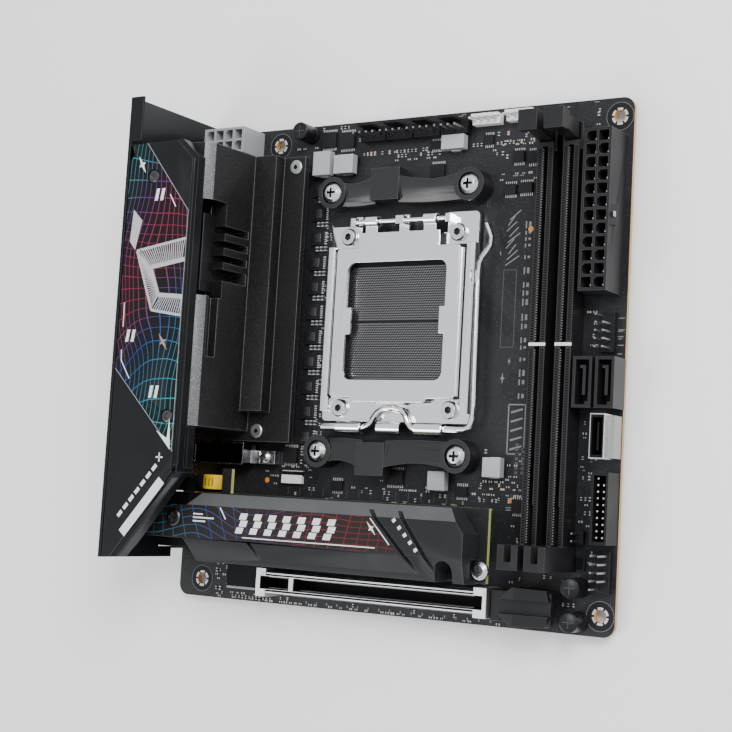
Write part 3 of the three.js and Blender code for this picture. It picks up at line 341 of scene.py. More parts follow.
dull = {"Specular_IOR_Level": 0.17}  # black nylon and solder mask reflect little
plastics = {
    # the lighter edge colour of an entry is a painted edge highlight
    "blackNylon": (((0.008, 0.008, 0.009), 0.34, 0.5), {"rubbed": (0.04, 0.04, 0.042), **dull}),
    "satinNylon": (((0.008, 0.008, 0.009), 0.28, 0.4, 0.08),
                   {"rubbed": (0.05, 0.05, 0.052), "Specular_IOR_Level": 0.35}),
    "bracketNylon": (((0.009, 0.009, 0.01), 0.26, 0.36, 0.12, 3200.0),
                     {"rubbed": (0.09, 0.09, 0.092), "Specular_IOR_Level": 0.5}),
    # a dull black: the plastic inside slots, also painted shade inside recesses and openings
    "darkNylonAndShade": (((0.003, 0.003, 0.0035), 0.5, 0.62), {"rubbed": (0.02, 0.02, 0.021), **dull}),
    "greyNylon": (((0.27, 0.275, 0.28), 0.36, 0.5), {"rubbed": (0.5, 0.5, 0.51)}),
    "paleNylon": (((0.7, 0.7, 0.68), 0.35, 0.5), {}),
    "contactResin": (((0.012, 0.012, 0.012), 0.5, 0.62), {**dull}),
    "tinPlate": (((0.62, 0.62, 0.625), 0.24, 0.4, 0.06), {"Metallic": 0.5}),
    "coverSatin": (((0.0058, 0.0064, 0.0076), 0.34, 0.46, 0.1, 3500.0),
                   {"rubbed": (0.07, 0.07, 0.074), **dull}),
    # a light grey for thin film edge lines, also a painted highlight on bevel faces that face +y
    "coverEdge": (((0.2, 0.2, 0.21), 0.3, 0.42, 0.08, 3500.0), {}),
    "printWhite": (((0.66, 0.67, 0.68), 0.45, 0.6), {}),
    "printGrey": (((0.16, 0.16, 0.165), 0.5, 0.62), {}),
    "printDim": (((0.055, 0.055, 0.058), 0.5, 0.62), {}),
    "chokeFerrite": (((0.33, 0.335, 0.34), 0.42, 0.58, 0.2), {"rubbed": (0.55, 0.55, 0.56)}),
    "chipResin": (((0.011, 0.011, 0.012), 0.42, 0.55, 0.12), {**dull}),
    "ceramicTan": (((0.34, 0.2, 0.09), 0.4, 0.52), {}),
    "ceramicGrey": (((0.045, 0.045, 0.048), 0.4, 0.52), {}),
    "yellowSleeve": (((0.8, 0.5, 0.012), 0.24, 0.36, 0.05), {}),
    "amberDot": (((0.55, 0.24, 0.03), 0.3, 0.4), {}),
    "ladderNylon": (((0.02, 0.02, 0.0205), 0.4, 0.52), {"rubbed": (0.07, 0.07, 0.072), **dull}),
    "latchRib": (((0.02, 0.02, 0.021), 0.3, 0.42), {"rubbed": (0.1, 0.1, 0.1), **dull}),
    "powerNylon": (((0.014, 0.014, 0.015), 0.36, 0.5), {"rubbed": (0.09, 0.09, 0.092), **dull}),
    # a flat black for painted shade in holes and openings
    "holeShadeBlack": (((0.001, 0.001, 0.001), 0.7, 0.8), {**dull}),
    "driveSatin": (((0.015, 0.016, 0.018), 0.34, 0.46, 0.1, 3500.0), {"rubbed": (0.12, 0.12, 0.125), **dull}),
    # a lighter grey for the drive cover's bevel: painted highlight
    "driveBevelHighlight": (((0.075, 0.076, 0.08), 0.36, 0.48, 0.15, 3000.0), {**dull}),
    # a lighter grey for the cover's bevel: painted highlight
    "coverBevelHighlight": (((0.085, 0.086, 0.09), 0.3, 0.4, 0.08, 3500.0), {**dull}),
    "canSleeve": (((0.006, 0.006, 0.007), 0.3, 0.42, 0.03), {"Specular_IOR_Level": 0.3}),
    "solderTin": (((0.5, 0.5, 0.5), 0.3, 0.46), {"Metallic": 0.4}),
    "printTan": (((0.28, 0.2, 0.15), 0.4, 0.5), {}),
    "clearBlock": (((0.24, 0.24, 0.23), 0.22, 0.34), {}),
}
metals = {
    "polishedSteel": (((0.93, 0.93, 0.935), 0.13, 0.24), {}),
    "nickelPlate": (((0.78, 0.78, 0.79), 0.2, 0.34, (900.0, 900.0, 900.0)), {}),
    "gunSteel": (((0.06, 0.06, 0.064), 0.32, 0.45, (300.0, 3000.0, 3000.0)), {}),
    "goldPlate": (((0.83, 0.62, 0.3), 0.2, 0.3, (900.0, 900.0, 900.0)), {}),
    "blackOxide": (((0.09, 0.09, 0.093), 0.3, 0.42, (700.0, 700.0, 700.0)), {}),
    "chromePrint": (((0.74, 0.75, 0.77), 0.22, 0.4, (500.0, 3000.0, 500.0)), {}),
    "dimTin": (((0.3, 0.3, 0.305), 0.3, 0.42, (900.0, 900.0, 900.0)), {}),
    "driveShade": (((0.05, 0.05, 0.05), 0.35, 0.5, (900.0, 900.0, 900.0)), {}),
    "contactTin": (((0.36, 0.36, 0.37), 0.3, 0.45, (900.0, 900.0, 900.0)), {}),
    "slotSleeve": (((0.88, 0.88, 0.885), 0.3, 0.42, (60.0, 2500.0, 2500.0)), {}),
    "glossCan": (((0.07, 0.07, 0.074), 0.14, 0.3, (60.0, 60.0, 60.0), 0.02), {}),
    "regulatorTop": (((0.12, 0.12, 0.125), 0.3, 0.42, (900.0, 900.0, 900.0)), {}),
    "dullNickel": (((0.5, 0.5, 0.505), 0.36, 0.5, (900.0, 900.0, 900.0)), {}),
}
looks = {
    "boardMask": solderMask("boardMask", maskLook["laminate"]),
    "riserMask": solderMask("riserMask", (0.36, 0.37, 0.13)),
    # the third colour of a granular metal is a painted edge highlight
    "blastedBlack": granularMetal("blastedBlack", (0.0045, 0.0045, 0.005), (0.016, 0.016, 0.017),
                                  (0.2, 0.2, 0.205), 0.5, 0.66, 1600.0),
    # a lighter grey for the heatsink chamfers: painted highlight
    "chamferHighlightGrey": granularMetal("chamferHighlightGrey", (0.12, 0.121, 0.123), (0.25, 0.25, 0.255), (0.4, 0.4, 0.41),
                                 0.42, 0.58, 2300.0),
    "coverFilm": printedFilm("coverFilm", (0.003, 0.003, 0.004),
                             [(0.01, 0.33, 0.36), (0.01, 0.24, 0.36), (0.02, 0.06, 0.28), (0.3, 0.03, 0.06),
                              (0.42, 0.015, 0.09), (0.12, 0.03, 0.2), (0.02, 0.26, 0.28)],
                              (36, 146, (-1.2, 1.0)), (1.9, 4.4), 2.4, 0.62),
    "driveFilm": printedFilm("driveFilm", (0.017, 0.0125, 0.012),
                             [(0.01, 0.26, 0.28), (0.02, 0.09, 0.3), (0.06, 0.03, 0.12), (0.3, 0.02, 0.03),
                              (0.22, 0.01, 0.02)], (5, 105, (1.0, 0.0)), (4.4, 2.3), 1.6, 0.55),
}
looks.update({name: mouldedPlastic(name, *values, **extra) for name, (values, extra) in plastics.items()})
looks.update({name: drawnMetal(name, *values, **extra) for name, (values, extra) in metals.items()})
print("materials made")


# mesh building, in millimetres on the board
def addPrism(bm, points, low, high, look=0):
    area = sum(a[0] * b[1] - b[0] * a[1] for a, b in zip(points, points[1:] + points[:1]))
    ordered = points if area > 0 else points[::-1]
    bottom = [bm.verts.new((x, y, low)) for x, y in ordered]
    top = [bm.verts.new((x, y, high)) for x, y in ordered]
    faces = [bm.faces.new(bottom[::-1]), bm.faces.new(top)]
    for i in range(len(ordered)):
        j = (i + 1) % len(ordered)
        faces.append(bm.faces.new((bottom[i], bottom[j], top[j], top[i])))
    for face in faces:
        face.material_index = look
    return bottom + top


def addBlock(bm, x0, x1, y0, y1, z0, z1, look=0):
    return addPrism(bm, [(x0, y0), (x1, y0), (x1, y1), (x0, y1)], z0, z1, look)


def addAlongX(bm, points, x0, x1, look=0):  # outline in (y, z)
    verts = addPrism(bm, points, x0, x1, look)
    for vert in verts:
        y, z, x = vert.co
        vert.co = (x, y, z)


def addAlongY(bm, points, y0, y1, look=0):  # outline in (x, z)
    verts = addPrism(bm, [(z, x) for x, z in points], y0, y1, look)
    for vert in verts:
        z, x, y = vert.co
        vert.co = (x, y, z)


def circlePoints(x, y, radius, sides, start=0.0):
    return [(x + radius * math.cos(start + i * 2 * math.pi / sides),
             y + radius * math.sin(start + i * 2 * math.pi / sides))
            for i in range(sides)]


def addTurned(bm, profile, x, y, sides=24, look=0):  # profile of (radius, height), axis to axis
    rings = []
    for radius, height in profile:
        if radius < 1e-6:
            rings.append([bm.verts.new((x, y, height))])
        else:
            rings.append([bm.verts.new((px, py, height)) for px, py in circlePoints(x, y, radius, sides)])
    for low, high in zip(rings, rings[1:]):
        for i in range(sides):
            j = (i + 1) % sides
            if len(low) == 1:
                face = bm.faces.new((low[0], high[j], high[i]))
            elif len(high) == 1:
                face = bm.faces.new((low[i], low[j], high[0]))
            else:
                face = bm.faces.new((low[i], low[j], high[j], high[i]))
            face.material_index = look


def addRing(bm, x, y, inner, outer, low, high, sides=24, look=0):
    profile = [(inner, low), (outer, low), (outer, high), (inner, high)]
    rings = [[bm.verts.new((px, py, h)) for px, py in circlePoints(x, y, r, sides)] for r, h in profile]
    for low4, high4 in zip(rings, rings[1:] + rings[:1]):
        for i in range(sides):
            j = (i + 1) % sides
            bm.faces.new((low4[i], low4[j], high4[j], high4[i])).material_index = look


edgeLook = {"angle": 35, "segments": 2}


def softenEdges(piece, width):
    angle = math.radians(edgeLook["angle"])
    piece.data.shade_smooth()
    piece.data.set_sharp_from_angle(angle=angle)
    if width:
        bevel = piece.modifiers.new("softEdges", "BEVEL")
        bevel.width = width * 0.001
        bevel.segments = edgeLook["segments"]
        bevel.limit_method = "ANGLE"
        bevel.angle_limit = angle
        bevel.harden_normals = True


def settle(piece, body):
    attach(piece, body)


def makePiece(name, bm, lookNames, body="board", soft=0.1):
    bmesh.ops.recalc_face_normals(bm, faces=bm.faces)
    for vert in bm.verts:
        vert.co = place(*vert.co)
    mesh = bpy.data.meshes.new(name)
    bm.to_mesh(mesh)
    bm.free()
    for lookName in lookNames:
        mesh.materials.append(looks[lookName])
    piece = bpy.data.objects.new(name, mesh)
    bpy.context.scene.collection.objects.link(piece)
    softenEdges(piece, soft)
    settle(piece, body)
    return piece


def refine(node, lookName, soft=0.15, paint=None):  # a merged copy of a CAD node with softened edges
    bm = bmesh.new()
    bm.from_mesh(frame["nodes"][node].data)
    bmesh.ops.remove_doubles(bm, verts=bm.verts, dist=0.000004)
    bmesh.ops.dissolve_limit(bm, angle_limit=math.radians(0.6), verts=bm.verts, edges=bm.edges)
    mesh = bpy.data.meshes.new(node + "_skin")
    lookNames = [lookName]
    if paint:
        lookNames += paint(bm)
    bm.to_mesh(mesh)
    bm.free()
    for name in lookNames:
        mesh.materials.append(looks[name])
    piece = bpy.data.objects.new(node + "_skin", mesh)
    bpy.context.scene.collection.objects.link(piece)
    softenEdges(piece, soft)
    settle(piece, bodyOfNode[node])
    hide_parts(node)
    return piece


def insideOutline(x, y, outline):
    inside = False
    for (ax, ay), (bx, by) in zip(outline, outline[1:] + outline[:1]):
        if (ay > y) != (by > y) and x < (bx - ax) * (y - ay) / (by - ay) + ax:
            inside = not inside
    return inside


def paintOutline(bm, outline, lookIndex, heights,
                 upward=0.9):  # cuts the upward faces along an outline and marks them
    low, high = (boardOrigin.z + h * 0.001 for h in heights)
    for (ax, ay), (bx, by) in zip(outline, outline[1:] + outline[:1]):
        across = Vector((by - ay, ax - bx, 0)).normalized()
        chosen = [f for f in bm.faces if f.normal.z > upward and low < f.calc_center_median().z < high]
        edges = {e for f in chosen for e in f.edges}
        verts = {v for f in chosen for v in f.verts}
        bmesh.ops.bisect_plane(bm, geom=list(verts) + list(edges) + chosen, plane_co=place(ax, ay, 0),
                               plane_no=across)
    for face in bm.faces:
        spot = face.calc_center_median()
        if face.normal.z > upward and low < spot.z < high:
            flat = (spot - boardOrigin) * 1000
            if insideOutline(flat.x, flat.y, outline):
                face.material_index = lookIndex


# Geometry Nodes: one small part repeated on marked points
def newRepeatTree(name, extra):
    tree = bpy.data.node_groups.new(name, "GeometryNodeTree")
    tree.interface.new_socket("Geometry", in_out="INPUT", socket_type="NodeSocketGeometry")
    for label, kind, value in extra:
        socket = tree.interface.new_socket(label, in_out="INPUT", socket_type=kind)
        if value is not None:
            socket.default_value = value
    tree.interface.new_socket("Geometry", in_out="OUTPUT", socket_type="NodeSocketGeometry")
    return tree, tree.nodes.new("NodeGroupInput").outputs, tree.nodes.new("NodeGroupOutput").inputs


def finishRepeatTree(tree, given, result, shape, look, endLook=None):
    spots = addNode(tree, "GeometryNodeMeshToPoints", {"Mesh": given["Geometry"]})
    turn = addNode(tree, "GeometryNodeInputNamedAttribute", {"Name": "turn"}, data_type="FLOAT")
    scale = addNode(tree, "GeometryNodeInputNamedAttribute", {"Name": "grow"}, data_type="FLOAT_VECTOR")
    angles = addNode(tree, "ShaderNodeCombineXYZ", {2: turn.outputs[0]})
    copies = addNode(tree, "GeometryNodeInstanceOnPoints", {"Points": spots.outputs[0], "Instance": shape,
                                                            "Rotation": angles.outputs[0],
                                                            "Scale": scale.outputs[0]})
    real = addNode(tree, "GeometryNodeRealizeInstances", {0: copies.outputs[0]})
    dressed = addNode(tree, "GeometryNodeSetMaterial", {"Geometry": real.outputs[0], "Material": look})
    if endLook:
        ends = addNode(tree, "GeometryNodeInputNamedAttribute", {"Name": "isEnd"}, data_type="BOOLEAN")
        dressed = addNode(tree, "GeometryNodeSetMaterial",
                          {"Geometry": dressed.outputs[0], "Selection": ends.outputs[0],
                                                            "Material": endLook})
    tree.links.new(dressed.outputs[0], result["Geometry"])


def movedShape(tree, shape, offset):
    return addNode(tree, "GeometryNodeTransform", {"Geometry": shape, "Translation": offset}).outputs[0]


def sizedCube(tree, x, y, z, lift, shift=None):
    size = addNode(tree, "ShaderNodeCombineXYZ", {0: x, 1: y, 2: z})
    cube = addNode(tree, "GeometryNodeMeshCube", {"Size": size.outputs[0]})
    offset = addNode(tree, "ShaderNodeCombineXYZ", {0: shift if shift is not None else 0.0, 1: 0.0, 2: lift})
    return movedShape(tree, cube.outputs[0], offset.outputs[0])


def buildChipTree():  # a soldered two-ended part: a body between two metal ends
    tree, given, result = newRepeatTree("solderedChip", [
        ("Length", "NodeSocketFloat", 0.001), ("Width", "NodeSocketFloat", 0.0005),
        ("Height", "NodeSocketFloat", 0.0004),
        ("End Share", "NodeSocketFloat", 0.22), ("Body Look", "NodeSocketMaterial", None),
        ("End Look", "NodeSocketMaterial", None)])
    half = mathNode(tree, "MULTIPLY", given["Height"], 0.5)
    endLength = mathNode(tree, "MULTIPLY", given["Length"], given["End Share"])
    middle = mathNode(tree, "SUBTRACT", given["Length"], mathNode(tree, "MULTIPLY", endLength, 1.6))
    body = sizedCube(tree, middle, given["Width"], mathNode(tree, "MULTIPLY", given["Height"], 0.96), half)
    reach = mathNode(tree, "MULTIPLY", mathNode(tree, "SUBTRACT", given["Length"], endLength), 0.5)
    endWidth = mathNode(tree, "MULTIPLY", given["Width"], 1.04)
    joined = addNode(tree, "GeometryNodeJoinGeometry", {0: body})
    for side in (-1.0, 1.0):
        end = sizedCube(tree, endLength, endWidth, given["Height"], half,
                        mathNode(tree, "MULTIPLY", reach, side))
        marked = addNode(tree, "GeometryNodeStoreNamedAttribute",
                         {"Geometry": end, "Name": "isEnd", "Value": True},
                         data_type="BOOLEAN", domain="FACE")
        tree.links.new(marked.outputs[0], joined.inputs[0])
    finishRepeatTree(tree, given, result, joined.outputs[0], given["Body Look"], given["End Look"])
    return tree


def buildPostTree():  # a tapered post standing on its point: pins, solder mounds, plated dots
    tree, given, result = newRepeatTree("repeatedPost", [
        ("Radius", "NodeSocketFloat", 0.0003), ("Tip Radius", "NodeSocketFloat", 0.0002),
        ("Height", "NodeSocketFloat", 0.001), ("Sides", "NodeSocketInt", 8),
        ("Look", "NodeSocketMaterial", None)])
    cone = addNode(tree, "GeometryNodeMeshCone",
                   {"Vertices": given["Sides"], "Radius Top": given["Tip Radius"],
                                                  "Radius Bottom": given["Radius"], "Depth": given["Height"]})
    finishRepeatTree(tree, given, result, cone.outputs[0], given["Look"])
    return tree


def buildTabTree():  # a plain flat tab: slot contacts, legs, windows
    tree, given, result = newRepeatTree("repeatedTab", [
        ("Length", "NodeSocketFloat", 0.001), ("Width", "NodeSocketFloat", 0.0003),
        ("Height", "NodeSocketFloat", 0.0001),
        ("Look", "NodeSocketMaterial", None)])
    half = mathNode(tree, "MULTIPLY", given["Height"], 0.5)
    shape = sizedCube(tree, given["Length"], given["Width"], given["Height"], half)
    finishRepeatTree(tree, given, result, shape, given["Look"])
    return tree


chipTree = buildChipTree()
postTree = buildPostTree()
tabTree = buildTabTree()


def repeatOn(name, tree, spots, values, body="board"):
    mesh = bpy.data.meshes.new(name + "_spots")  # spots are (x, y, z, turn in degrees, (grow x, y, z))
    mesh.from_pydata([place(*spot[:3]) for spot in spots], [], [])
    turn = mesh.attributes.new("turn", "FLOAT", "POINT")
    grow = mesh.attributes.new("grow", "FLOAT_VECTOR", "POINT")
    for i, spot in enumerate(spots):
        turn.data[i].value = math.radians(spot[3] if len(spot) > 3 else 0.0)
        grow.data[i].vector = spot[4] if len(spot) > 4 else (1.0, 1.0, 1.0)
    carrier = bpy.data.objects.new(name + "_carrier", mesh)
    bpy.context.scene.collection.objects.link(carrier)
    modifier = carrier.modifiers.new("repeat", "NODES")
    modifier.node_group = tree
    sockets = {item.name: item.identifier for item in tree.interface.items_tree if item.in_out == "INPUT"}
    for key, value in values.items():
        modifier[sockets[key]] = value
    bpy.context.view_layer.update()
    evaluated = carrier.evaluated_get(bpy.context.evaluated_depsgraph_get())
    result = bpy.data.meshes.new_from_object(evaluated)
    bpy.data.objects.remove(carrier)
    piece = bpy.data.objects.new(name, result)
    bpy.context.scene.collection.objects.link(piece)
    settle(piece, body)
    return piece


# circuit board
boardDetail = {"holes": [(10.16, 6.35), (165.1, 6.35), (33.02, 163.83), (165.1, 163.83)], "ringInner": 2.05,
               "ringOuter": 2.8, "padSpots": 6, "amberDots": [(135.4, 128.7), (132.9, 40.3), (36.2, 42.8)]}


def addArcPad(bm, x, y, inner, outer, start, sweep, low, high, look=0):
    turns = [math.radians(start + sweep * i / 5) for i in range(6)]
    arc = [(x + outer * math.cos(turn), y + outer * math.sin(turn)) for turn in turns]
    back = [(x + inner * math.cos(turn), y + inner * math.sin(turn)) for turn in reversed(turns)]
    addPrism(bm, arc + back, low, high, look)


def dressBoard():
    refine("circuit_board", "boardMask", 0.12)
    bm = bmesh.new()
    for x, y in boardDetail["holes"]:
        for i in range(boardDetail["padSpots"]):
            start = i * 60 + 8
            addArcPad(bm, x, y, boardDetail["ringInner"], boardDetail["ringOuter"], start, 44, 0.0, 0.05, 0)
        addRing(bm, x, y, 1.9, 1.99, -1.66, 0.03, 32, 2)
        addRing(bm, x, y, boardDetail["ringInner"], 4.3, 0.0, 0.02, 48, 3)
        addRing(bm, x, y, 4.55, 4.68, 0.0, 0.03, 48, 1)
    ringLooks = ["tinPlate", "printGrey", "amberDot", "chipResin"]
    makePiece("hole_rings", bm, ringLooks, soft=0)
    repeatOn("amber_dots", postTree, [(x, y, 0, 0) for x, y in boardDetail["amberDots"]],
             {"Radius": 0.00095, "Tip Radius": 0.00095, "Height": 0.00005, "Sides": 16,
              "Look": looks["amberDot"]})


dressBoard()
print("board dressed")

# painting rules for refined parts, all in millimetres on the board
def faceSpot(face):
    return (face.calc_center_median() - boardOrigin) * 1000


def paintWhere(lookName, rule):  # marks the faces that a rule picks
    def paint(bm):
        bm.normal_update()
        for face in bm.faces:
            if rule(faceSpot(face), face.normal):
                face.material_index = 1
        return [lookName]
    return paint


def insideBox(node, margin):  # picks faces that lie inside a part's outer faces
    low, high = ((Vector(corner) - boardOrigin) * 1000 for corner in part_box(node))
    return lambda spot, normal: all(low[i] + margin < spot[i] < high[i] - margin for i in range(3))


def driveWell(node, reach):  # picks the walls and floor of a screw's drive, where shade is painted
    low, high = ((Vector(corner) - boardOrigin) * 1000 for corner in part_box(node))
    middle = (low + high) / 2
    return lambda spot, normal: (math.hypot(spot.x - middle.x, spot.y - middle.y) < reach and
                                 (spot.z < high.z - 0.3 or abs(normal.z) < 0.5) and spot.z > high.z - 2.2)


coverTopBand = (43.0, 44.0)
driveTopBand = (25.8, 26.2)
coverFilmOutline = [(0.0, 157.2), (7.3, 157.2), (27.72, 132.0), (27.72, 50.3), (0.0, 78.0)]
driveFilmOutline = [(2.0, 21.6), (2.0, 33.0), (95.3, 33.0), (106.6, 21.6)]


def paintCover(bm):
    bm.normal_update()
    paintOutline(bm, coverFilmOutline, 1, coverTopBand)
    for edge in (((7.3, 157.2), (27.72, 132.0)), ((27.5, 132.0), (27.5, 50.3)), ((27.72, 50.3), (0.0, 78.0))):
        (ax, ay), (bx, by) = edge
        across = Vector((by - ay, ax - bx)).normalized() * 0.28
        strip = [(ax, ay), (bx, by), (bx + across.x, by + across.y), (ax + across.x, ay + across.y)]
        paintOutline(bm, strip, 2, coverTopBand)
    bm.normal_update()
    # painted highlight: slanted bevel faces get a lighter grey, lighter still where they face +y
    for face in bm.faces:
        spot = faceSpot(face)
        if 0.2 < face.normal.z < 0.97 and face.normal.x > 0.2 and spot.z > 41:
            face.material_index = 3 if face.normal.y > 0.3 else 4
    return ["coverFilm", "coverEdge", "coverEdge", "coverBevelHighlight"]


def paintDrive(bm):
    bm.normal_update()
    paintOutline(bm, driveFilmOutline, 1, driveTopBand)
    bm.normal_update()
    # painted highlight: slanted bevel faces that face +y get a lighter grey
    for face in bm.faces:
        if 0.2 < face.normal.z < 0.97 and face.normal.y > 0.2 and faceSpot(face).z > 23:
            face.material_index = 2
    return ["driveFilm", "driveBevelHighlight"]


def paintSlot(bm):
    bm.normal_update()
    for face in bm.faces:
        spot = faceSpot(face)
        inChannel = 5.5 < spot.y < 10.1 and 43 < spot.x < 130.6 and spot.z < 11.1
        onShoulder = face.normal.z > 0.9 and 10.2 < spot.z < 10.6
        if inChannel or onShoulder:
            face.material_index = 1
    return ["darkNylonAndShade"]


frontPortLining = [(163.2, 54.75), (167.6, 54.75), (167.6, 68.05), (163.2, 68.05)]


def paintFrontPort(bm):  # thin metal rim, black lining, a black mouth that is partly its plastic and partly painted shade, clear block beside it
    bm.normal_update()
    paintOutline(bm, frontPortLining, 2, (8.9, 9.1))
    bm.normal_update()
    for face in bm.faces:
        spot = faceSpot(face)
        if spot.x > 167.95:
            face.material_index = 1
        elif 163.6 < spot.x < 167.2 and 55.5 < spot.y < 67.3 and spot.z < 8.9:
            face.material_index = 2
    return ["clearBlock", "darkNylonAndShade"]


def paintBoxedHeader(bm):  # painted shade: a darker inside of the box; bright pin tips
    inside = insideBox("usb3_header", 0.75)
    bm.normal_update()
    for face in bm.faces:
        spot = faceSpot(face)
        if inside(spot, face.normal):
            face.material_index = 2 if face.normal.z > 0.5 and spot.z > 4 else 1
    return ["darkNylonAndShade", "tinPlate"]


def paintSink(bm):
    bm.normal_update()
    for face in bm.faces:
        spot = faceSpot(face)
        # painted highlight: slanted chamfer faces near the ends get a lighter grey
        slanted = face.normal.x > 0.3 and face.normal.z > 0.3
        if slanted and (spot.y > 137 or spot.y < 84):
            face.material_index = 1
        # painted shade: the faces inside the recess get a darker, duller black
        elif 21 < spot.x < 30 and 104 < spot.y < 138 and 26 < spot.z < 37.4:
            face.material_index = 2
    return ["chamferHighlightGrey", "darkNylonAndShade"]


# plain refined parts
plainSkins = {
    "backplate": ("gunSteel", 0.3), "socket_housing": ("contactResin", 0.15),
    "socket_frame": ("polishedSteel", 0.22),
    "load_plate": ("polishedSteel", 0.3), "load_lever": ("polishedSteel", 0),
    "io_shield": ("coverSatin", 0.15), "cover_screw_1": ("blackOxide", 0.1),
    "cover_screw_2": ("blackOxide", 0.1), "heatsink_insert": ("blackOxide", 0.15),
    "heatsink_screw_1": ("dullNickel", 0.12), "heatsink_screw_2": ("dullNickel", 0.12),
    "cmos_battery": ("yellowSleeve", 0.3), "riser_board": ("riserMask", 0.08),
    "riser_connector": ("blackNylon", 0.2),
    "chipset_heatsink": ("blastedBlack", 0.15), "drive_screw_1": ("blackOxide", 0.15),
    "drive_screw_2": ("nickelPlate", 0.15),
    "expansion_latch": ("satinNylon", 0.2), "memory_latch_1": ("satinNylon", 0.25),
    "memory_latch_2": ("satinNylon", 0.25),
    "data_port_1": ("satinNylon", 0.1), "data_port_2": ("satinNylon", 0.1),
    "antenna_block": ("goldPlate", 0.12), "flash_button": ("satinNylon", 0.15),
    "clear_button": ("satinNylon", 0.15),
    "cooler_bracket_back": ("bracketNylon", 0.5), "cooler_bracket_front": ("bracketNylon", 0.5),
}
for node, (lookName, soft) in plainSkins.items():
    refine(node, lookName, soft)
refine("io_cover", "coverSatin", 0.1, paint=paintCover)
refine("drive_heatsink", "driveSatin", 0.2, paint=paintDrive)
refine("expansion_slot", "slotSleeve", 0.18, paint=paintSlot)
refine("vrm_heatsink", "blastedBlack", 0.2, paint=paintSink)
refine("wifi_module", "glossCan", 0.2, paint=paintWhere("nickelPlate", lambda spot, normal: spot.x > 31.9))
refine("main_power", "powerNylon", 0.1)
refine("processor_power", "greyNylon", 0.1,
       paint=paintWhere("darkNylonAndShade", lambda spot, normal: spot.z < 3.5 and normal.z > 0.5))
for node in ("usb2_header", "panel_header"):
    refine(node, "blackNylon", 0.06, paint=paintWhere("dimTin", lambda spot, normal: spot.z > 2.6))
for i, edge in enumerate((166.6, 167.0)):
    refine(f"light_header_{i + 1}", "paleNylon", 0.08,
           paint=paintWhere("tinPlate", lambda spot, normal, edge=edge: spot.z > 3.1 and spot.y < edge))
for i in range(4):
    refine(f"fan_header_{i + 1}", "blackNylon", 0.08,
           paint=paintWhere("dimTin", lambda spot, normal: spot.z > 3.5 and 163.1 < spot.y < 164.0))
for i in range(4):
    # painted shade in the screw drives
    for node, reach in ((f"frame_screw_{i + 1}", 1.5), (f"cooler_screw_{i + 1}", 1.8)):
        refine(node, "nickelPlate", 0.12, paint=paintWhere("driveShade", driveWell(node, reach)))
for node in ("memory_slot_1", "memory_slot_2"):
    refine(node, "ladderNylon", 0.1,
           paint=paintWhere("satinNylon", lambda spot, normal: spot.y < 27 or spot.z < 8.6))
refine("front_usb_port", "nickelPlate", 0.1, paint=paintFrontPort)
refine("usb3_header", "blackNylon", 0.08, paint=paintBoxedHeader)
# the insides of the port shells are painted black: partly their plastic, partly painted shade
for node in ("usb_stack_1", "usb_stack_2", "video_port", "lan_port"):
    refine(node, "nickelPlate", 0.12, paint=paintWhere("darkNylonAndShade", insideBox(node, 0.5)))
refine("audio_block", "blackNylon", 0.12, paint=paintWhere("nickelPlate", insideBox("audio_block", 0.5)))
print("skins made")


# thin rails, divider and contacts of the card slot
slotDetail = {"rails": [4.55, 10.95], "railHalf": 0.24, "fromX": 46.2, "toX": 126.4, "low": 10.3,
              "high": 10.9,
              "contactPitch": 1.0, "contactZ": 7.4}


def dressCardSlot():
    look = slotDetail
    bm = bmesh.new()
    for y in look["rails"]:
        addBlock(bm, look["fromX"], look["toX"], y - look["railHalf"], y + look["railHalf"], look["low"],
                 look["high"])
    makePiece("card_slot_rails", bm, ["slotSleeve"], soft=0.06)
    count = int((look["toX"] - look["fromX"]) / look["contactPitch"])
    spots = [(look["fromX"] + i * look["contactPitch"], y, look["contactZ"], 0) for i in range(count)
             for y in (5.95, 9.65)
             if not 55 < look["fromX"] + i * look["contactPitch"] < 58.4]
    repeatOn("card_slot_contacts", tabTree, spots, {"Length": 0.0005, "Width": 0.0003, "Height": 0.0012,
                                                    "Look": looks["dullNickel"]})
    bm = bmesh.new()
    addBlock(bm, 55.8, 57.6, 5.8, 9.8, 11.1, 11.18)
    makePiece("card_slot_key", bm, ["paleNylon"], soft=0.02)
    # painted shade: flat black discs in the heatsink's screw wells
    bm = bmesh.new()
    for x, y in ((45.6, 153.6), (35.6, 59.7)):
        addTurned(bm, [(0, 7.9), (0.95, 7.9), (0.95, 8.03), (0, 8.03)], x, y, 20)
    makePiece("sink_screw_wells", bm, ["holeShadeBlack"], soft=0)


dressCardSlot()
print("card slot dressed")


# processor contacts
contactField = {"pitchX": 0.94, "pitchY": 0.81, "half": 19.4, "gapHalf": 0.5, "floor": 2.2}


def fillSocket():
    field = contactField
    rows = int(field["half"] * 2 / field["pitchY"])
    columns = int(field["half"] * 2 / field["pitchX"])
    spots = []
    for j in range(rows + 1):
        y = -field["half"] + j * field["pitchY"]
        if abs(y) > field["gapHalf"]:
            start = 88.5 - field["half"] + 0.5 * (j % 2) * field["pitchX"]
            spots += [(start + i * field["pitchX"], 98.5 + y, field["floor"], 35) for i in range(columns)]
    repeatOn("socket_contacts", tabTree, spots, {"Length": 0.00072, "Width": 0.0003, "Height": 0.00035,
                                                 "Look": looks["contactTin"]})


fillSocket()
print("contacts made")


# rolled rims along the load plate's sides
plateRims = {"left": 64.3, "right": 112.7, "from": 73.2, "to": 122.6,
             "roll": [(-0.4, 5.85), (0.35, 5.8), (0.85, 5.5), (1.2, 5.0), (1.3, 4.6), (1.3, 4.15),
                      (0.95, 4.15),
                      (0.95, 4.5), (0.8, 4.85), (0.5, 5.15), (0.1, 5.3), (-0.4, 5.3)]}


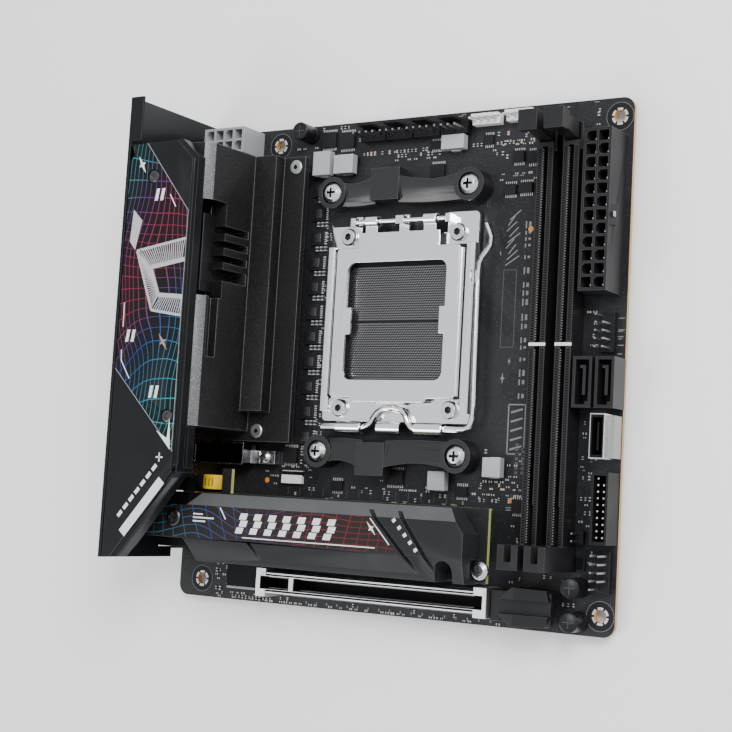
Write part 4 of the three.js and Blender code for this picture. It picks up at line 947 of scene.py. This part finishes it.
def rollPlate():
    bm = bmesh.new()
    for edge, side in ((plateRims["left"], -1), (plateRims["right"], 1)):
        outline = [(edge + side * out, z) for out, z in plateRims["roll"]]
        addAlongY(bm, outline, plateRims["from"], plateRims["to"])
    makePiece("plate_rims", bm, ["polishedSteel"], body=bodyOfNode["load_plate"], soft=0)


rollPlate()
print("plate rims made")


# memory slot windows and contacts
memoryDetail = {"centres": [143.7, 152.7], "pitch": 0.85, "from": 27.6, "to": 154.2, "keyY": 89.8}


def dressMemory():
    windows, contacts = [], []
    bm = bmesh.new()
    for x in memoryDetail["centres"]:
        count = int((memoryDetail["to"] - memoryDetail["from"]) / memoryDetail["pitch"])
        for i in range(count):
            y = memoryDetail["from"] + i * memoryDetail["pitch"]
            if abs(y - memoryDetail["keyY"]) > 1.1:
                windows += [(x - 1.85, y, 9.0, 0), (x + 1.85, y, 9.0, 0)]
                contacts.append((x - 0.82, y, 8.2, 0))
        addBlock(bm, x - 2.85, x + 2.85, memoryDetail["keyY"] - 0.5, memoryDetail["keyY"] + 0.5, 8.6, 9.06)
    # painted shade: flat black tabs stand for the openings along the slot
    repeatOn("memory_windows", tabTree, windows, {"Length": 0.00105, "Width": 0.00048, "Height": 0.00003,
                                                  "Look": looks["holeShadeBlack"]})
    repeatOn("memory_contacts", tabTree, contacts, {"Length": 0.00014, "Width": 0.00022, "Height": 0.0006,
                                                    "Look": looks["tinPlate"]})
    makePiece("memory_keys", bm, ["paleNylon"], soft=0.05)
    for i, x in enumerate(memoryDetail["centres"]):
        bm = bmesh.new()
        for row in range(5):
            y = 156.3 + row * 1.15
            addAlongX(bm, [(y, 22.6), (y + 0.75, 22.6), (y + 0.55, 23.0), (y + 0.2, 23.0)], x - 3.2, x + 3.2)
        makePiece(f"memory_latch_ribs_{i + 1}", bm, ["latchRib"], body=f"memory_latch_{i + 1}", soft=0.05)


dressMemory()
print("memory slots dressed")


# power connector pins
powerPins = {"main": (159.8, 105.9, 2, 12), "small": (8.1, 160.1, 4, 2), "pitch": 4.2, "foot": 3.0}


def gridSpots(x0, y0, columns, rows, pitch, z):  # the middles of a block of square cells
    return [(x0 + (i + 0.5) * pitch, y0 + (j + 0.5) * pitch, z, 0)
            for i in range(columns) for j in range(rows)]


def dressPower():
    pins = [spot for block in ("main", "small")
            for spot in gridSpots(*powerPins[block], powerPins["pitch"], powerPins["foot"])]
    repeatOn("power_pins", postTree, pins,
             {"Radius": 0.0006, "Tip Radius": 0.00035, "Height": 0.0075, "Sides": 4,
              "Look": looks["tinPlate"]})
    bm = bmesh.new()
    addBlock(bm, 169.0, 169.32, 129.2, 130.8, 10.2, 11.6)
    makePiece("catch_mark", bm, ["greyNylon"], soft=0)


dressPower()
print("power pins made")


# soldered parts on the board
boxyParts = {
    "chokes": [(50.3, 57.4, 151.0, 159.6, 4.2), (59.1, 67.1, 151.1, 157.8, 4.2),
               (102.3, 110.9, 156.7, 161.6, 4.2),
               (103.6, 110.0, 42.2, 48.5, 4.0), (123.7, 130.2, 47.3, 53.7, 4.0)],
    "resins": [(125.4, 129.8, 140.5, 143.9, 1.5), (130.9, 135.7, 140.8, 144.2, 1.5),
               (97.0, 102.2, 148.0, 152.6, 1.2),
               (51.4, 57.4, 161.6, 167.2, 1.2), (59.2, 65.2, 160.8, 166.6, 1.2),
               (117.0, 120.4, 158.0, 161.2, 1.2),
               (43.2, 48.8, 49.2, 54.6, 1.2), (96.6, 101.4, 158.0, 160.6, 1.2),
               (128.2, 132.2, 151.2, 155.0, 1.4),
               (133.6, 137.6, 150.6, 154.6, 1.4), (64.0, 68.4, 40.4, 43.8, 1.1),
               (112.8, 117.0, 40.6, 44.0, 1.1),
               (133.4, 138.2, 36.4, 40.8, 1.1), (86.0, 92.4, 43.4, 48.4, 1.1)],
    "cans": [(46.7, 166.6), (158.1, 14.6), (158.2, 4.2)], "canRadius": 3.15, "canHeight": 8.6,
}


def solderBoxes():
    bm = bmesh.new()
    for x0, x1, y0, y1, top in boxyParts["chokes"]:
        addBlock(bm, x0, x1, y0, y1, top * 0.22, top, 0)
        addBlock(bm, x0 + 0.5, x1 - 0.5, y0 + 0.3, y1 - 0.3, 0.02, top * 0.22, 1)
        for side in (y0 - 0.25, y1 - 0.15):
            addBlock(bm, (x0 + x1) / 2 - 1.8, (x0 + x1) / 2 + 1.8, side, side + 0.4, 0.02, top * 0.35, 2)
    makePiece("chokes", bm, ["chokeFerrite", "chipResin", "tinPlate"], soft=0.25)
    bm = bmesh.new()
    legs = []
    for x0, x1, y0, y1, top in boxyParts["resins"]:
        addBlock(bm, x0, x1, y0, y1, 0.1, top, 0)
        count = max(3, int((x1 - x0) / 0.65))
        for i in range(count):
            x = x0 + (i + 0.5) * (x1 - x0) / count
            legs += [(x, y0 - 0.45, 0.0, 90), (x, y1 + 0.45, 0.0, 90)]
    makePiece("small_chips", bm, ["chipResin"], soft=0.12)
    repeatOn("chip_legs", tabTree, legs,
             {"Length": 0.0011, "Width": 0.00027, "Height": 0.00018, "Look": looks["solderTin"]})
    bm = bmesh.new()
    radius, height = boxyParts["canRadius"], boxyParts["canHeight"]
    for x, y in boxyParts["cans"]:
        profile = [(0, 0.02), (radius, 0.02), (radius, 1.2), (radius - 0.25, 1.7), (radius, 2.2),
                   (radius, height - 0.3), (radius - 0.3, height), (radius - 0.55, height - 0.12),
                   (0, height - 0.12)]
        addTurned(bm, profile, x, y, 32, 0)
        for turn in (0, math.pi / 2):
            dx, dy = math.cos(turn) * 1.9, math.sin(turn) * 1.9
            nx, ny = -math.sin(turn) * 0.09, math.cos(turn) * 0.09
            addPrism(bm, [(x - dx - nx, y - dy - ny), (x + dx - nx, y + dy - ny), (x + dx + nx, y + dy + ny),
                          (x - dx + nx, y - dy + ny)], height - 0.14, height - 0.06, 1)
    makePiece("cans", bm, ["canSleeve", "printDim"], soft=0)


solderBoxes()

regulatorRow = {"fromY": 58.6, "toY": 146.6, "count": 11, "x": 51.6}


def solderRegulators():
    row = regulatorRow
    step = (row["toY"] - row["fromY"]) / (row["count"] - 1)
    bm = bmesh.new()
    caps, legs = [], []
    for i in range(row["count"]):
        y = row["fromY"] + i * step
        addBlock(bm, row["x"] - 2.2, row["x"] + 3.0, y - 2.6, y + 2.6, 0.1, 1.0, 0)
        addBlock(bm, row["x"] - 1.2, row["x"] + 2.0, y - 1.6, y + 1.6, 1.0, 1.35, 1)
        caps += [(row["x"] + 3.9, y - 3.9, 0, 90), (row["x"] + 2.2, y - 3.9, 0, 90),
                 (row["x"] + 0.4, y - 3.9, 0, 90)]
        legs += [(row["x"] + 3.5, y - 2.0 + k * 0.8, 0, 0) for k in range(6)]
    makePiece("regulators", bm, ["chipResin", "regulatorTop"], soft=0.12)
    repeatOn("regulator_caps", chipTree, caps,
             {"Length": 0.0016, "Width": 0.0009, "Height": 0.0009, "Body Look": looks["ceramicGrey"],
              "End Look": looks["solderTin"]})
    repeatOn("regulator_legs", tabTree, legs, {"Length": 0.001, "Width": 0.0004, "Height": 0.0002,
                                               "Look": looks["tinPlate"]})


solderRegulators()
print("larger soldered parts made")

smallZones = {  # x0, x1, y0, y1, share of places filled
    "top": (66, 139, 158.2, 161.4, 0.45), "topMid": (80, 101, 150.2, 158.6, 0.5),
    "topRight": (119, 139.4, 145.6, 160, 0.42),
    "leftOfSocket": (55.6, 59.0, 60, 147, 0.3), "below": (36, 140, 38.6, 48.6, 0.3),
    "belowLeft": (50, 57, 47, 57.4, 0.45),
    "belowRight": (121, 139.6, 38, 56, 0.36), "rightEdge": (156.6, 160.4, 86.6, 104, 0.5),
    "lowRight": (156.8, 162.4, 17.6, 69, 0.4), "underMemory": (134, 157, 2, 18, 0.34),
    "nearCorner": (15, 24, 1.6, 13, 0.5),
    "underSlot": (12, 131, 0.8, 2.2, 0.4), "cornerTop": (157.5, 163, 158.6, 168.6, 0.5),
    "headerSide": (36, 68, 162, 168.6, 0.3),
    "besideSlot": (24, 42, 1.2, 3.2, 0.5), "riserSide": (133.6, 139.8, 18, 37, 0.4),
    "besidePower": (156.4, 158.0, 108, 156, 0.3),
}
standing = ["socket_frame", "cooler_bracket_back", "cooler_bracket_front", "vrm_heatsink", "memory_slot_1",
            "memory_slot_2",
            "main_power", "processor_power", "fan_header_1", "fan_header_2", "fan_header_3", "fan_header_4",
            "light_header_1", "light_header_2", "usb2_header", "panel_header", "data_port_1", "data_port_2",
            "front_usb_port", "usb3_header", "expansion_slot", "expansion_latch", "wifi_module",
            "cmos_battery",
            "memory_latch_1", "memory_latch_2", "riser_connector"]


def takenPlaces():
    taken = []
    for node in standing:
        low, high = ((Vector(corner) - boardOrigin) * 1000 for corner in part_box(node))
        taken.append((low.x, high.x, low.y, high.y))
    taken += [entry[:4] for entry in boxyParts["chokes"] + boxyParts["resins"]]
    taken += [(x - 3.4, x + 3.4, y - 3.4, y + 3.4) for x, y in boxyParts["cans"]]
    taken += [(x - 5, x + 5, y - 5, y + 5) for x, y in boardDetail["holes"]]
    taken += [(42.5, 53, 41, 47), (23, 41.5, 3.4, 13), (155.8, 160.4, 19, 32.6), (125, 137.5, 54, 136)]
    return taken


def solderSmall():
    rng = random.Random(7)
    taken = takenPlaces()
    groups = {"tanCaps": [], "greyCaps": [], "resistors": []}
    for x0, x1, y0, y1, share in smallZones.values():
        y = y0
        while y < y1:
            x = x0 + rng.uniform(0, 0.8)
            pitch = rng.choice((1.5, 1.8, 2.2))
            turn = rng.choice((0, 90))
            rowShare = share * rng.choice((0.3, 1.0, 1.5))
            while x < x1:
                free = all(not (a - 0.8 < x < b + 0.8 and c - 0.8 < y < d + 0.8) for a, b, c, d in taken)
                if free and rng.random() < rowShare:
                    size = rng.choice((0.8, 1.0, 1.0, 1.25))
                    kind = rng.choice(("tanCaps", "greyCaps", "greyCaps", "resistors", "resistors"))
                    groups[kind].append((x, y, 0.0, turn, (size, size, size)))
                x += pitch * (1.0 if turn == 90 else 1.15)
            y += rng.choice((1.25, 1.5, 1.9))
    body = {"tanCaps": "ceramicTan", "greyCaps": "ceramicGrey", "resistors": "chipResin"}
    for name, spots in groups.items():
        repeatOn("small_" + name, chipTree, spots, {"Length": 0.00105, "Width": 0.00055, "Height": 0.0004,
                 "End Share": 0.27, "Body Look": looks[body[name]], "End Look": looks["solderTin"]})
    print("small parts:", sum(len(spots) for spots in groups.values()))


solderSmall()


# printed marks on the board
def addStroke(bm, ax, ay, bx, by, width, z, look=0, lift=0.02):
    along = Vector((bx - ax, by - ay)).normalized()
    side = Vector((-along.y, along.x)) * (width / 2)
    addPrism(bm, [(ax - side.x, ay - side.y), (bx - side.x, by - side.y), (bx + side.x, by + side.y),
                  (ax + side.x, ay + side.y)], z, z + lift, look)


def addOutline(bm, points, width, z, look=0, lift=0.02):
    for (ax, ay), (bx, by) in zip(points, points[1:] + points[:1]):
        addStroke(bm, ax, ay, bx, by, width, z, look, lift)


def addSparkle(bm, x, y, size, z, turn=0.0, look=0, lift=0.02):
    points = []
    for i in range(8):
        radius = size if i % 2 == 0 else size * 0.2
        if i % 4 == 2:
            radius *= 0.45
        points.append((x + radius * math.cos(turn + i * math.pi / 4),
                       y + radius * math.sin(turn + i * math.pi / 4)))
    addPrism(bm, points, z, z + lift, look)


boardPrint = {"column": (134.6, 73.0, 133.0), "box": (126.2, 130.9, 89.9, 115.4),
              "panel": (130.4, 136.4, 55.2, 71.2)}


def printBoard():
    rng = random.Random(3)
    bm = bmesh.new()
    x, y0, y1 = boardPrint["column"]
    y = y0
    while y < y1:  # a column of plain dashes
        length = rng.choice((1.3, 1.9, 1.9, 2.4))
        addStroke(bm, x - 0.9, y, x - 0.9, y + length, 0.5, 0, 0)
        addStroke(bm, x + 0.5, y + 0.3, x + 0.5, y + length - 0.2, 0.9, 0, 0)
        y += length + rng.choice((0.8, 0.8, 2.6))
    for row, (start, length) in enumerate(((48.8, 10.6), (48.8, 9.8))):
        for i in range(int(length / 1.5)):
            spot = start + i * 1.5
            addStroke(bm, 134.0 + row * 2.2, spot, 134.0 + row * 2.2, spot + 0.9, 1.1, 0, 2)
    x0, x1, yA, yB = boardPrint["box"]
    addOutline(bm, [(x0, yA), (x1, yA), (x1, yB), (x0, yB)], 0.22, 0, 1)
    for sx, sy, size in ((127.5, 79.7, 2.0), (129.7, 85.3, 1.3), (124.7, 121.1, 1.0)):
        addSparkle(bm, sx, sy, size, 0, math.pi / 2, 0)
    for i in range(9):  # slanted brush strokes
        y = 118.4 + i * 1.9
        addStroke(bm, 126.6 + (i % 3) * 0.5, y - 1.5, 131.6 - (i % 4) * 0.7, y + 1.6, 0.34, 0.001 * i, 0)
    x0, x1, yA, yB = boardPrint["panel"]
    addOutline(bm, [(x0, yA), (x1, yA), (x1, yB), (x0, yB)], 0.4, 0, 0)
    for i in range(5):
        addStroke(bm, x0 + 0.9, yA + 1.4 + i * 3.0, x1 - 0.9, yA + 2.6 + i * 3.0, 0.6, 0.001 * i, 0)
    for i in range(14):
        addStroke(bm, 45.5 + i * 4.9, 38.2, 45.5 + i * 4.9, 40.9, 0.2, 0.002, 2)
    for i in range(18):
        addStroke(bm, 56 + i * 4.2, 1.0, 56 + i * 4.2, 1.9, 0.5, 0.003, 0)
    for x in (57.2, 119.4):
        addOutline(bm, [(x - 0.4, 137), (x + 0.4, 137), (x + 0.4, 141), (x - 0.4, 141)], 0.12, 0.004, 2)
    makePiece("board_print", bm, ["printGrey", "printDim", "printDim"], soft=0)
    bm = bmesh.new()
    for i in range(46):  # short dashes beside parts, in place of their labels
        x, y = rng.choice(((rng.uniform(60, 138), rng.uniform(145.6, 147.4)),
                           (rng.uniform(36, 136), rng.uniform(36.6, 38.0)),
                           (rng.uniform(156.8, 162), rng.uniform(20, 68)),
                           (rng.uniform(100, 160), rng.uniform(168.4, 169.4)),
                           (rng.uniform(167.2, 167.5), rng.uniform(87, 104))))
        addStroke(bm, x, y, x + rng.uniform(0.8, 2.2), y, 0.32, 0.0005 * i, 0)
    makePiece("board_dashes", bm, ["printGrey"], soft=0)


printBoard()
print("board printed")


# cover and drive prints
emblem = {"outer": [(27.3, 122.6), (6.0, 119.0), (14.2, 98.2), (27.3, 96.2)],
          "inner": [(27.3, 115.4), (12.6, 113.0), (16.8, 103.4), (27.3, 102.6)], "hatchPitch": 0.95,
          "hatchLean": 1.4}


def hatchBand(bm, outer, inner, top):  # short leaning strokes between two bent lines
    for (a, b), (c, d) in zip(zip(outer, outer[1:]), zip(inner, inner[1:])):
        a, b, c, d = (Vector(point) for point in (a, b, c, d))
        count = int((b - a).length / emblem["hatchPitch"])
        lean = emblem["hatchLean"] / (b - a).length
        for k in range(count):
            share = (k + 0.5) / count
            far = min(1.0, share + lean)
            start, end = a.lerp(b, share), c.lerp(d, far)
            addStroke(bm, start.x, start.y, end.x, end.y, 0.36, top + 0.0002 * k, 0)


coverPrint = {"top": 43.5, "sparkles": [(5.6, 149.4, -60, 0), (20.3, 87.2, -55, 2)], "sparkleSize": 3.6,
              "strokes": [(19.0, 138.2, 21.8, 133.8), (2.0, 101.0, 2.2, 92.6), (2.4, 81.0, 6.6, 74.6),
                          (2.2, 84.6, 2.5, 81.0)],
              "barPairs": [(14.6, 138.4), (5.9, 89.4), (17.9, 70.2)], "plus": (22.3, 48.2, 1.5)}


def printCover():
    top = coverPrint["top"]
    bm = bmesh.new()
    for x, y, turn, look in coverPrint["sparkles"]:
        addSparkle(bm, x, y, coverPrint["sparkleSize"], top, math.radians(turn), look)
    for stroke in coverPrint["strokes"]:
        addStroke(bm, *stroke, 0.36, top)
    for x, y in coverPrint["barPairs"]:  # plain slanted bars
        for shift in (-1.3, 1.1):
            addPrism(bm, [(x + shift - 1.0, y - 2.1), (x + shift + 0.3, y - 2.1), (x + shift + 1.0, y + 2.1),
                          (x + shift - 0.3, y + 2.1)], top, top + 0.02)
    addPrism(bm, [(25.6, 61.6), (26.6, 50.8), (20.2, 57.2), (25.0, 54.6)], top, top + 0.02)
    addStroke(bm, 8.2, 22.0, 24.0, 40.6, 3.2, top, 0)
    for i in range(7):
        share = i / 7
        addStroke(bm, 6.0 + 16 * share, 27.6 + 18.8 * share, 7.6 + 16 * share, 29.5 + 18.8 * share, 1.3,
                  top + 0.0005 * i, 0)
    x, y, arm = coverPrint["plus"]
    for turn in (0, math.pi / 2):
        dx, dy = arm * math.cos(turn), arm * math.sin(turn)
        addStroke(bm, x - dx, y - dy, x + dx, y + dy, 0.5, top + 0.006, 0)
    makePiece("cover_marks", bm, ["printWhite", "chromePrint", "printTan"], soft=0)
    bm = bmesh.new()
    hatchBand(bm, emblem["outer"], emblem["inner"], top)
    makePiece("cover_hatching", bm, ["chromePrint"], soft=0)
    bm = bmesh.new()
    for line, width in ((emblem["outer"], 0.9), (emblem["inner"], 1.5)):
        for i, ((ax, ay), (bx, by)) in enumerate(zip(line, line[1:])):
            addStroke(bm, ax, ay, bx, by, width, top + 0.004 + 0.001 * i)
    addPrism(bm, [(3.2, 133.6), (7.4, 129.6), (5.0, 119.4), (2.4, 122.4)], top, top + 0.02)
    makePiece("cover_emblem", bm, ["chromePrint"], soft=0)


drivePrint = {"top": 26.0, "bars": 7, "from": 42.8, "pitch": 5.9, "width": 2.9, "lean": 0.35, "low": 24.2,
              "slices": [(24.2, 26.2, 0.0), (26.5, 28.6, 0.7), (28.9, 31.0, -0.2)]}


def printDrive():
    look = drivePrint
    top, width = look["top"], look["width"]
    bm = bmesh.new()
    for i in range(look["bars"]):  # plain slanted bars, each in shifted slices
        x = look["from"] + i * look["pitch"]
        for low, high, shift in look["slices"]:
            left = x + shift + (low - look["low"]) * look["lean"]
            slant = (high - low) * look["lean"]
            outline = [(left, low), (left + width, low), (left + width + slant, high), (left + slant, high)]
            addPrism(bm, outline, top, top + 0.02)
    addStroke(bm, 36.0, 32.4, 38.6, 28.6, 0.45, top)
    addStroke(bm, 46.0, 22.9, 98.4, 22.9, 0.35, top)
    addStroke(bm, 96.0, 32.2, 103.6, 24.2, 0.35, top + 0.001)
    addSparkle(bm, 96.6, 29.0, 2.8, top + 0.002, math.radians(-50))
    for i in range(5):
        addStroke(bm, 104.4 + i * 2.1, 31.6 - i * 2.2, 105.4 + i * 2.1, 32.4 - i * 2.2, 1.1, top + 0.003)
    for i in range(3):
        addStroke(bm, 24.6, 29.8 - i * 1.2, 24.6 + (4.2, 9.0, 5.4)[i], 29.8 - i * 1.2, 0.5, top + 0.004)
    makePiece("drive_marks", bm, ["printWhite"], soft=0)


printCover()
printDrive()
print("cover and drive printed")


# small odd parts, as boxes of x0, x1, y0, y1, z0, z1, look
oddBoxes = {
    "flat_connector": ([(43.3, 52.0, 42.0, 44.6, 0.02, 1.6, 0), (43.3, 52.0, 44.6, 45.0, 1.0, 1.6, 0),
                        (43.9, 51.4, 44.6, 46.2, 0.02, 0.9, 1), (43.3, 52.0, 46.2, 46.6, 0.02, 1.2, 2)],
                       ["paleNylon", "darkNylonAndShade", "tinPlate"], "white_plastic", 0.15),
    "edge_block": ([(24.4, 40.6, 5.0, 12.6, 0.02, 4.4, 0), (24.4, 40.6, 4.2, 5.0, 0.02, 4.2, 1)],
                   ["darkNylonAndShade", "greyNylon"], "black_plastic", 0.15),
    "crystal_and_jumper": ([(156.7, 159.7, 19.8, 24.0, 0.02, 1.4, 2),
                            (156.6, 159.3, 27.8, 32.2, 0.02, 2.5, 1),
                            (157.6, 158.24, 28.58, 29.22, 2.5, 8.2, 0),
                            (157.6, 158.24, 30.88, 31.52, 2.5, 8.2, 0)],
                           ["dimTin", "blackNylon", "glossCan"], "bright_steel", 0.15),
    "yellow_lead": ([(6.0, 11.6, 35.6, 37.4, 0.3, 3.4, 0)], ["yellowSleeve"], "yellow_wrap", 0.7),
}


def makeOddParts():
    for name, (boxes, lookNames, slot, soft) in oddBoxes.items():
        bm = bmesh.new()
        for box in boxes:
            addBlock(bm, *box)
        makePiece(name, bm, lookNames, soft=soft)
    bm = bmesh.new()  # black end of the wrapped battery
    addAlongX(bm, circlePoints(41.0, 4.6, 3.1, 20), 11.2, 12.6, 0)
    for i in range(3):
        addStroke(bm, 15.4 + i * 1.5, 39.6, 15.4 + i * 1.5, 42.4, 0.3, 8.58, 0)
    makePiece("battery_end", bm, ["chipResin"], soft=0.15)
    bm = bmesh.new()  # bright rim, window and clip screw on the radio module
    addOutline(bm, [(9.3, 47.9), (30.5, 47.9), (30.5, 55.3), (9.3, 55.3)], 0.35, 7.98, 0, 0.08)
    addTurned(bm, [(0, 3.4), (1.9, 3.4), (1.9, 3.9), (1.3, 4.5), (0, 4.6)], 37.0, 50.7, 20, 0)
    addBlock(bm, 34.4, 34.8, 48.6, 52.8, 3.38, 3.7, 0)
    makePiece("module_trim", bm, ["nickelPlate"], soft=0.06)


makeOddParts()
print("odd parts made")


# solder on the underside
underside = {"z": -1.6, "headerPitch": 2.54, "headers": [(161.8, 87.9, 2, 5), (163.4, 13.4, 2, 5)],
             "mainPower": (159.1, 106.5, 2, 12), "smallPower": (8.1, 160.1, 4, 2),
             "partZone": (75, 102, 83, 114)}


def solderUnder():
    under, pin = underside["z"], underside["headerPitch"]
    spots = gridSpots(*underside["mainPower"], powerPins["pitch"], under)
    spots += gridSpots(*underside["smallPower"], powerPins["pitch"], under)
    spots += [(69.4 + n * 10.7 + (i + 0.5) * pin, 163.6, under, 0) for n in range(4) for i in range(4)]
    for block in underside["headers"]:
        spots += gridSpots(*block, pin, under)
    spots += [(166.0 + i * 2.0, 30.4 + j * 2.0, under, 0) for i in range(2) for j in range(10)]
    spots += [(2.5 + (i % 2) * 2.2, 82.6 + j * 1.4 + n * 17.4, under, 0) for n in range(2) for i in range(4)
              for j in range(9)]
    spots += [(4 + (i % 2) * 2.5, 63.6 + j * 1.6, under, 0) for i in range(2) for j in range(8)]
    spots += [(44 + i * 1.0, 6.2 + (i % 2) * 3.2, under, 0) for i in range(82)]
    spots += [(x + side * 2.2, 27.6 + i * 0.85 * 2, under, 0) for x in (143.7, 152.7) for side in (-1, 1)
              for i in range(74)]
    flipped = [(x, y, z, 0, (1, 1, -1)) for x, y, z, turn in spots]
    repeatOn("under_solder", postTree, flipped,
             {"Radius": 0.00062, "Tip Radius": 0.0002, "Height": 0.0009, "Sides": 8,
                                                 "Look": looks["tinPlate"]})
    rng = random.Random(11)
    small = [(rng.uniform(62, 115), rng.uniform(80, 117), under, rng.choice((0, 90)), (1.6, 1.6, -1.6))
             for i in range(60)]
    x0, x1, y0, y1 = underside["partZone"]
    small = [spot for spot in small if x0 < spot[0] < x1 and y0 < spot[1] < y1]
    repeatOn("under_parts", chipTree, small, {"Length": 0.001, "Width": 0.0006, "Height": 0.0005,
             "Body Look": looks["ceramicTan"], "End Look": looks["tinPlate"]})


solderUnder()
print("underside soldered")


# stage and light
studio = {"floorSize": 6.0, "floorTone": (0.93, 0.93, 0.93, 1), "worldTone": (0.9, 0.92, 0.95, 1),
          "worldPower": 1.14}


def makeStage():
    mesh = bpy.data.meshes.new("floor")
    half = studio["floorSize"] / 2
    mesh.from_pydata([(-half, -half, 0), (half, -half, 0), (half, half, 0), (-half, half, 0)], [],
                     [(0, 1, 2, 3)])
    material, tree, shader = newMaterial("floorPaint", Roughness=0.7)
    shader.inputs["Base Color"].default_value = studio["floorTone"]
    mesh.materials.append(material)
    floor = bpy.data.objects.new("floor", mesh)
    floor.location.z = -0.0005
    bpy.context.scene.collection.objects.link(floor)
    world = bpy.data.worlds.new("studio")
    bpy.context.scene.world = world
    world.use_nodes = True
    background = world.node_tree.nodes["Background"]
    background.inputs[0].default_value = studio["worldTone"]
    background.inputs[1].default_value = studio["worldPower"]


def areaLight(name, spot, target, size, power):
    data = bpy.data.lights.new(name, "AREA")
    data.shape = "RECTANGLE"
    data.size, data.size_y = size
    data.energy = power
    light = bpy.data.objects.new(name, data)
    light.location = spot
    light.rotation_euler = (Vector(target) - Vector(spot)).to_track_quat("-Z", "Y").to_euler()
    bpy.context.scene.collection.objects.link(light)


makeStage()
areaLight("keyLight", (0.55, 0.45, 0.75), (0, 0, 0), (0.5, 0.5), 12)
areaLight("sheenLight", (-0.5, -0.45, 0.8), (0, 0, 0), (0.35, 0.25), 3)
print("stage set")
